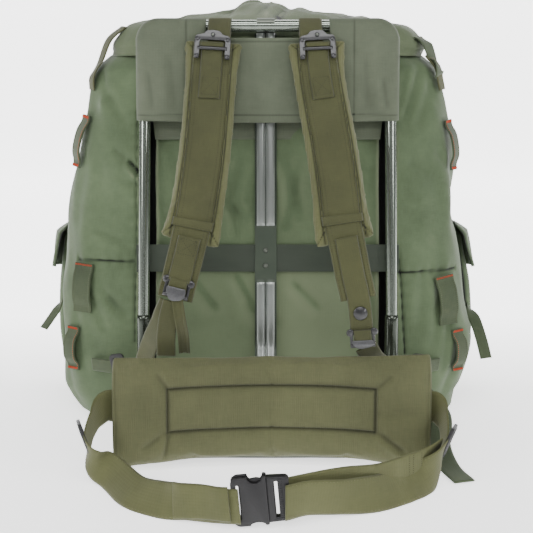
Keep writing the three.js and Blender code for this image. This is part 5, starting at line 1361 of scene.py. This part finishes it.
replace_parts(loop_buckle("lower_catch_left", "left", 207, 28, 24, 2.8), "lower_buckle_left")
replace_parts(loop_buckle("lower_catch_right", "right", 150, 27, 22, 4.6), "lower_buckle_right")

# The grey hook plates under the lower buckles, bare metal bent from sheet
grey_metal = Finish("grey_zinc", Metallic=0.85)
dull = grey_metal.noise(grey_metal.coords(), 320, 5, 0.7)
grey_metal.colour(dull, linear(70, 70, 72), linear(112, 112, 114))
grey_metal.feed("Roughness", dull * 0.25 + 0.3)
grey_metal.relief(dull, 0.0003, 0.3)
WEDGE = np.array([(-0.55, -0.8), (-0.1, -1), (0.6, -0.7), (1, -0.1), (0.9, 1), (-1, 1), (-0.95, 0.2)])
for side, z, width, height, lift in (("left", 200, 23, 16, 9), ("right", 143, 25, 10, 9)):
    place, across, outward = straps[side].spot(z)
    wedge = rounded(WEDGE * (width / 2, height / 2), 1.6)
    hook = plate("hook_plate_" + side, [wedge], 1.6, place + outward * lift, across, outward, 0.4, 0.8)
    dress(hook, grey_metal.material, "steel")

# Press stud of the right tab, a dark domed cap over its eyelet
place, across, outward = straps["right"].spot(178)
stud = turned("stud_cap",
              [(7.6, 0), (8, 0.5), (8, 1.3), (7.3, 2.1), (6.2, 2.3), (5.4, 2.7), (3, 3.3), (0.5, 3.5)],
              place + outward * (WEB + 2 * GAP), outward, 36)
dress(stud, black_lacquer.material, "black_metal", "press_stud")

# Anchor straps. Webbing from the lower buckles down behind the kidney pad to the frame's foot, and on the left the
# release strap's folded end.
ANCHORS = {
    "left": [(-109, 189.5, 104.2, 0, 1, 0), (-126, 158, 86, -0.7, 0.8, 0), (-143, 118, 50, -0.6, 1, 0),
             (-153, 82, 17.5, 0, 1, 0.3)],
    "right": [(113.5, 139, 101, 0, 1, 0), (124, 120, 84, 0, 1, 0), (145, 96, 44, 0, 1, 0),
              (156, 82, 18.6, 0, 1, 0.3)],
}
for side, rows in ANCHORS.items():
    anchor = webbing("anchor_" + side, rows, 50, band(TAB_WIDTH, WEB))
    dress(anchor, tab_web, "webbing", "anchor_strap_" + side)
release = webbing("release_strap",
                  [(-106, 192, 108.5, 0, 1, 0), (-112, 170, 101, 0, 1, 0), (-116, 145, 89, 0, 1, 0),
                                    (-117, 122, 80, 0, 1, 0)], 40, band(22, WEB))
dress(release, tab_web, "webbing")
PULL_ROWS = [(-101, 198, 111, 0, 1, 0), (-98, 174, 108, 0, 1, 0), (-96, 146, 88, 0, 1, 0),
             (-96, 124, 74, 0, 1, 0)]
u = np.linspace(-6.5, 6.5, 15)
ridge = 1.4 * (1 / (1 + np.exp(-(np.abs(u) - 4.2) * 3)))
folded = np.concatenate([np.stack([u, 0.7 + ridge], 1), np.stack([u, np.full(15, -0.9)], 1)[::-1]])
pull = webbing("pull_strap", PULL_ROWS, 40, folded)
dress(pull, tab_web, "webbing", "pull_tab")

# Waist belt. Two lengths of wide pale webbing from the kidney pad's ends, doubled back through the sliders and
# joined by the clasp. They stand on edge on the floor where they hang slack.
BELT_WIDTH = 38
BELT_LEFT = [(-172, -265, 74, 0, 1, 0), (-184, -270, 73, -0.7, 0.7, 0), (-192, -283, 64, -1, 0.1, -0.1),
             (-198, -300, 44, -1, -0.15, -0.29), (-192, -312, 28, -0.9, -0.5, 0.3),
             (-173, -317, 17, -0.6, -0.7, 0.6),
             (-140, -360, 13, -0.3, -0.6, 0.8), (-107, -386, 16.5, -0.2, -0.8, 0.5),
             (-84, -400, 20.5, -0.2, -1, 0.1),
             (-50, -414, 23, -0.1, -1, 0), (-27, -420.5, 25, -0.1, -1, 0)]
BELT_RIGHT = [(19, -420.5, 29, 0.1, -1, 0), (40, -409, 29, 0.1, -1, 0), (77, -392, 22.5, 0.25, -1, 0.05),
              (117, -372, 17, 0.4, -0.8, 0.4), (152, -344, 14, 0.45, -0.6, 0.75),
              (173, -328, 16, 0.75, -0.35, 0.5),
              (191, -312, 28, 0.9, -0.3, 0), (198, -298, 39, 1, -0.15, -0.3), (199, -283, 62, 1, 0.1, -0.1),
              (194, -270, 72, 0.7, 0.7, 0), (184, -266, 73, 0, 1, 0)]
BELT_RIGHT_INNER = [(17, -411, 33, 0.05, -1, 0), (75, -383, 32, 0.2, -1, 0), (117, -361, 26, 0.4, -1, 0.05),
                    (152, -337, 26, 0.55, -1, 0.05), (176, -318, 27, 0.8, -0.8, 0),
                    (192, -300, 36, 1, -0.2, -0.2)]
belt_web = woven("pale_belt_webbing", linear(72, 74, 44), linear(96, 98, 63), linear(116, 117, 86), 1.7, 1.1)
belt_routes = {}
belt_rows = []
for name, rows in (("belt_left", BELT_LEFT), ("belt_right", BELT_RIGHT)):
    rows = np.array(rows, float)
    belt_routes[name] = (rows[:, :3], rows[:, 3:])
    place, _, across, outward = route(rows[:, :3], rows[:, 3:], np.linspace(0, 1, 160))
    wave = ripple(np.linspace(0, 9, 160), 0 * place[:, 0], len(rows), 5, 0.6, 1.6) * 0.6
    belt = carried(name, place + outward * wave[:, None], across, outward, band(BELT_WIDTH, WEB, 0, 0.3))
    dress(belt, belt_web, "belt_webbing", "waist_" + name)
    for s in (-1, 1):
        belt_rows.append(stitches(place[4:150] + across[4:150] * s * (BELT_WIDTH / 2 - 2.6)
                                  + outward[4:150] * (wave[4:150, None] + 1.1), outward[4:150], 4.2, 2.2,
                                  0.5))


def doubled(name, belt, start, end, shift, rise):
    """The end of the belt turned back along it, shift across and rise out of its face."""
    place, _, across, outward = route(*belt_routes[belt], np.linspace(start, end, 80))
    up = np.sign(across[:, 2:3])
    far = np.linspace(0, 1, 80)[:, None]
    path = (place + across * up * shift * np.sin(far * math.pi / 2 + 0.3)
            + outward * (rise * (0.6 + 0.4 * np.sin(far * 9))))
    dress(carried(name, path, across, outward, band(BELT_WIDTH, WEB, 0, 0.4)), belt_web, "belt_webbing")
    return path, across, outward


path, across, outward = doubled("belt_left_end", "belt_left", 0.76, 0.96, 3.5, 2.6)
belt_rows.append(bar_tack(path[2], across[2], outward[2], 17, 1.3, 2.4, 1.6, 0.6))
rows = np.array(BELT_RIGHT_INNER, float)
right_inner, place, across, outward = laid("belt_right_inner", (rows[:, :3], rows[:, 3:]), 110,
                                           band(BELT_WIDTH, WEB, 0, 0.3))
dress(right_inner, belt_web, "belt_webbing")
dark_rows = [bar_tack(place[k], across[k], outward[k], 17, 1.4, 2.4, 1.7, 0.8) for k in (66, 70, 79)]
sewn("belt_bar_stitching", dark_rows, dark_thread, "belt_webbing")
pale_thread = thread_finish("pale_thread", 400, linear(92, 92, 66), linear(120, 120, 94))
sewn("belt_stitching", belt_rows, pale_thread, "belt_webbing")

# Belt sliders, moulded three-bar plates, and the side-release clasp: a hollow socket with raised prongs over its
# windows and a tongue whose ladder bar holds the right belt.
black_plastic = Finish("black_plastic", IOR=1.48)
grain = black_plastic.noise(black_plastic.coords(), 700, 3, 0.6)
dust = ((black_plastic.noise(black_plastic.coords(), 40, 5, 0.7) - 0.55) * 4).clipped()
black_plastic.colour(dust * 0.4, linear(24, 23, 25), linear(50, 49, 49))
black_plastic.feed("Roughness", grain * 0.2 + 0.38)
black_plastic.relief(grain, 0.0003, 0.3)


def clipped_box(width, height, cut, cx=0.0, cy=0.0):
    """A rectangle with rounded, cut corners."""
    w, h = width / 2, height / 2
    return rounded([(cx - w + cut, cy - h), (cx + w - cut, cy - h), (cx + w, cy - h + cut),
                    (cx + w, cy + h - cut),
                    (cx + w - cut, cy + h), (cx - w + cut, cy + h), (cx - w, cy + h - cut),
                    (cx - w, cy - h + cut)], cut)


for name, place, along, face in (
        ("slider_left", (-200.5, -300, 44), (0.3, -0.93, 0), (-0.9, -0.3, -0.3)),
        ("slider_right", (200.5, -298, 39), (-0.4, -0.9, 0), (0.86, -0.38, -0.34))):
    place, along, face = np.array(place), unit(np.array(along)), unit(np.array(face))
    outlines = [clipped_box(25.6, 49.6, 4)] + [oblong(6.8, 40, s * 5.7, 0, 1.2) for s in (-1, 1)]
    face = unit(face - along * face.dot(along))
    slider = plate(name + "_frame", outlines, 3.8, place, along, face, 0.8)
    up = np.cross(face, along)
    bars = [rod(name + "_bar", place + up * np.linspace(-19, 19, 7)[:, None] + along * x + face * 0.6, along,
                face,
                circle(1.9, 12)) for x in (-10.5, 0, 10.5)]
    dress(joined(name, [slider, *bars]), black_plastic.material, "black_plastic", "belt_" + name)

CLASP_X, CLASP_Y, CLASP_Z, CLASP_LENGTH, CLASP_HEIGHT = -5.5, -412, 30, 58, 52
CLASP_TILT = math.radians(5)
CLASP_RIGHT, CLASP_FACE = (math.cos(CLASP_TILT), 0, math.sin(CLASP_TILT)), (0, -1, 0)
half, tall = CLASP_LENGTH / 2, CLASP_HEIGHT / 2


def clasp_plate(name, outlines, thick, out, bevel=0.8):
    return plate(name, outlines, thick, (CLASP_X, CLASP_Y - out, CLASP_Z), CLASP_RIGHT, CLASP_FACE, bevel)


body_right = -half + CLASP_LENGTH * 0.62
scoop = np.linspace(0, math.pi, 15)
dip_x = -4.6 - 7.6 * np.cos(scoop)
top_dip, low_dip = (list(zip(dip_x, tall - deep * np.sin(scoop))) for deep in (7, 3.4))
shell_rim = [(-half + 5, -tall), *[(x, -z) for x, z in low_dip], (body_right, -tall), (body_right, tall),
             *top_dip[::-1], (-half + 5, tall), (-half, tall - 4), (-half, -tall + 4)]
slot = oblong(3.0, BELT_WIDTH - 2, -half * 0.78, 0, 1.2)
front_shell = clasp_plate("socket_front", [rounded(shell_rim, 2.5), slot], 3.4, 4.2, 1.4)
back_shell = clasp_plate("socket_back", [rounded(shell_rim, 2.5), slot], 3.4, -4.2, 1.4)
waist = clasp_plate("socket_wall", [oblong(11, CLASP_HEIGHT - 3, -half + 6.6, 0, 2), slot], 8, 0, 0.6)
dress(joined("clasp_socket", [front_shell, back_shell, waist]), black_plastic.material, "black_plastic",
      "buckle_socket")
tongue_left = body_right - 0.6
tongue_rim = [(tongue_left, -tall * 0.93), (half - 3, -tall * 0.9), (half, -tall * 0.82), (half, tall * 0.82),
              (half - 3, tall * 0.9), (tongue_left, tall * 0.93)]
tongue_slot = oblong(3.4, BELT_WIDTH, tongue_left + 9.6, 0, 1)
ladder = clasp_plate("tongue_ladder", [rounded(tongue_rim, 1.6), tongue_slot], 9.6, 0, 1.6)
prongs = []
tip = -half * 0.3
for s in (-1, 1):
    prong = [(tip - 3, s * tall * 0.62), (tip + 2, s * tall * 0.5), (tongue_left + 1, s * tall * 0.46),
             (tongue_left + 1, s * tall * 0.78), (tip + 6, s * tall * 0.9), (tip - 2, s * tall * 0.86)]
    prongs.append(clasp_plate("tongue_prong", [rounded(prong[::s], 2)], 4.6, 0, 1.4))
rib_way, rib_up = np.array(CLASP_RIGHT), np.array([-math.sin(CLASP_TILT), 0, math.cos(CLASP_TILT)])
rib_line = np.array([CLASP_X, CLASP_Y - 4.6, CLASP_Z]) + rib_way * (
    tongue_left + 13.8 + np.linspace(-2.0, 2.0, 5)[:, None])
ribs = [rod("tongue_rib", rib_line + rib_up * z, rib_up, (0, -1.0, 0), circle(0.7, 8))
        for z in np.arange(-20, 21, 2.4)]
dress(joined("clasp_tongue", [ladder, *prongs, *ribs]), black_plastic.material, "black_plastic",
      "buckle_tongue")

# Hangers and strap ends. Dark green webbing sewn upright to the bag's sides with red bar tacks, for slinging tools,
# the loose ends of the side straps, and the straps that hold the lid down on the far side.
dark_web = woven("dark_green_webbing", linear(46, 56, 38), linear(76, 86, 60), linear(104, 108, 80), 1.2, 1.3)
red_thread = thread_finish("red_thread", 300, linear(150, 44, 22), linear(206, 82, 44), 0.7)


def bag_knots(z, degrees, off):
    """Points of the bag's skin moved out by off, and the way it faces there."""
    angle = np.radians(np.broadcast_to(np.asarray(degrees, float), np.shape(z)))
    return bag_skin(z, angle, off), unit(bag_skin(z, angle, 1) - bag_skin(z, angle, 0))


HANGERS = {  # angle round the bag, low and high end, width and how far the loop stands off
    "hanger_left_upper": (203, 326, 392, 24, 4), "hanger_left_middle": (221, 143, 206, 32, 3),
    "hanger_left_lower": (214, 66, 122, 24, 6), "hanger_right_upper": (-22, 322, 386, 24, 4),
    "hanger_right_middle": (-41, 127, 190, 32, 3), "hanger_right_lower": (-34, 64, 118, 24, 6),
}
tacks, hem_rows = [], []
for node, (degrees, low_z, high_z, width, off) in HANGERS.items():
    t = np.array([0, 0.12, 0.3, 0.7, 0.88, 1])
    rise = np.array([0, 0, 1, 1, 0, 0])
    knots = bag_knots(low_z + t * (high_z - low_z), degrees, 1.9 + off * rise)
    edges = band(width, WEB, 0, 0.25, 25)
    edges[:, 1] += 0.7 * np.exp(-((np.abs(edges[:, 0]) - width / 2 + 1.5) / 1.2) ** 2) * np.sign(edges[:, 1])
    loop, place, across, outward = laid(node + "_web", knots, 70, edges)
    dress(loop, dark_web, "dark_webbing", node)
    inner = -np.sign(across[35, 0]) * (1 if degrees > 90 else -1)
    reach = width / 2 - 1.6
    for k in ((66, 64) if "middle" in node else (3, 5, 64, 66)):
        tacks.append(bar_tack(place[k], across[k], outward[k], reach, 1.4, 1.5, 1.2,
                              1.6 if "middle" in node else 2.4))
    if "middle" not in node:
        line = place[3:67] - across[3:67] * inner * reach + outward[3:67] * 1.5
        tacks.append(stitches(line, outward[3:67], 2.6, 1.9, 0.9))
    for s in (-1, 1):
        hem_rows.append(stitches(place[2:68] + across[2:68] * s * (reach - 1.2) + outward[2:68] * 1.4,
                                 outward[2:68],
                                 2.6, 1.8, 0.5))
sewn("hanger_hems", hem_rows, pale_thread, "dark_webbing")
sewn("red_bar_tacks", tacks, red_thread, "dark_webbing")


def over_shoulder(name, degrees, lid_rows, sack_rows, width, cloth):
    """Webbing from the lid down over the sack's shoulder, each row a share or a height and how far it stands off."""
    angle = np.radians(degrees)
    on_lid = [(lid_skin(share, angle, off), unit(lid_skin(share, angle, 1) - lid_skin(share, angle, 0)))
              for share, off in lid_rows]
    on_sack = [tuple(v[0] for v in bag_knots(np.array([z]), degrees, off)) for z, off in sack_rows]
    knots = tuple(np.array(v) for v in zip(*on_lid, *on_sack))
    dress(laid(name, knots, 60, band(width, WEB, 0, 0.3))[0], cloth, "dark_webbing")


# The lid's corner straps: a slim loop that stands off the left shoulder, and a folded end on the right one
over_shoulder("shoulder_loop_left", 202, [(0.52, 1.5), (0.3, 5)], [(458, 7), (440, 7), (424, 2.2)], 20,
              strip_web)
over_shoulder("shoulder_fold_right", -24, [(0.34, 1.5), (0.2, 8)], [(462, 11), (448, 9), (440, 4)], 26,
              dark_web)
over_shoulder("shoulder_end_right", -24, [(0.02, 9)], [(452, 8), (436, 5), (424, 4)], 20, strip_web)
for node, degrees in (("lid_strap_right", 75), ("lid_strap_left", 105)):
    knots = bag_knots(np.array([0.545, 0.67, 0.8, 0.9]) * BAG_HEIGHT, degrees, 2.2)
    dress(laid(node + "_web", knots, 60, band(TAB_WIDTH, WEB, 0, 0.2))[0], dark_web, "dark_webbing", node)

SIDE_TAILS = {  # angle round the bag, height, and where its webbing hangs from there
    "side_tail_left": (185, 143, [(-10, -8, -16), (-25, -22, -38)]),
    "side_tail_right": (-5, 134, [(9, -12, -16), (17, -26, -42), (22, -38, -66)]),
}
for node, (degrees, start_z, away) in SIDE_TAILS.items():
    root, facing = bag_knots(np.array([float(start_z)]), degrees, 1.6)
    hung = np.array([-0.75, -0.75, 0.3] if degrees > 90 else [0.35, -1.0, 0.5])
    knots = (np.vstack([root, root + np.array(away)]), np.vstack([facing, *[hung] * len(away)]))
    dress(laid(node + "_web", knots, 60, band(18, WEB, 0, 0.3))[0], dark_web, "dark_webbing", node)

# Bag anchors. Webbing that ties the bag's foot to the frame's sleeves through black buckles, and a free end that
# drops to the floor on the right.
for side, sign in (("left", -1), ("right", 1)):
    tube_x = FRAME_X + sign * (FRAME_HALF_LOW + LOWER_TUBE_R)
    places = at(tube_x + sign * np.array([0, 14, 34]), [88, 86, 82], [3, 1, -7])
    faces = np.array([(sign * 0.6, -1, 0), (sign * 0.2, -1, 0), (sign * 0.35, -1, 0)])
    skin, facing = bag_knots(np.array([78.0]), 228 if sign < 0 else 312, 2.6)
    knots = (np.vstack([places, skin]), np.vstack([faces, facing]))
    dress(laid("bag_tie_" + side, knots, 60, band(17, WEB, 0, 0.2))[0], dark_web, "dark_webbing",
          "bag_anchor_" + side)
    place, along, _, face = (v[0] for v in route(*knots, np.array([0.48])))
    catch = plate("tie_catch_" + side, [clipped_box(19.6, 33.6, 3), oblong(8, 24, 0, 0, 1)], 3,
                  place + face * (WEB / 2 + 2.5 * GAP + BUCKLE_THICK / 2), along, face, 0.7)
    dress(catch, black_plastic.material, "black_plastic", "bag_anchor_buckle_" + side)
FLOOR_TAIL = [(191, -157.5, 64.6, 0.3, -1, 0.1), (196, -164, 54, 0.3, -1, 0.5), (213, -196, 37, 0.2, -0.6, 1),
              (205, -238, 14, 0, -0.4, 1), (209, -275, 3, 0, 0, 1), (219, -313, 2, 0, 0, 1)]
rows = np.array(FLOOR_TAIL, float)
tail = laid("floor_tail", (rows[:, :3], rows[:, 3:]), 90, band(TAB_WIDTH, WEB, 0, 0.2))[0]
dress(tail, dark_web, "dark_webbing", "floor_tail_right")
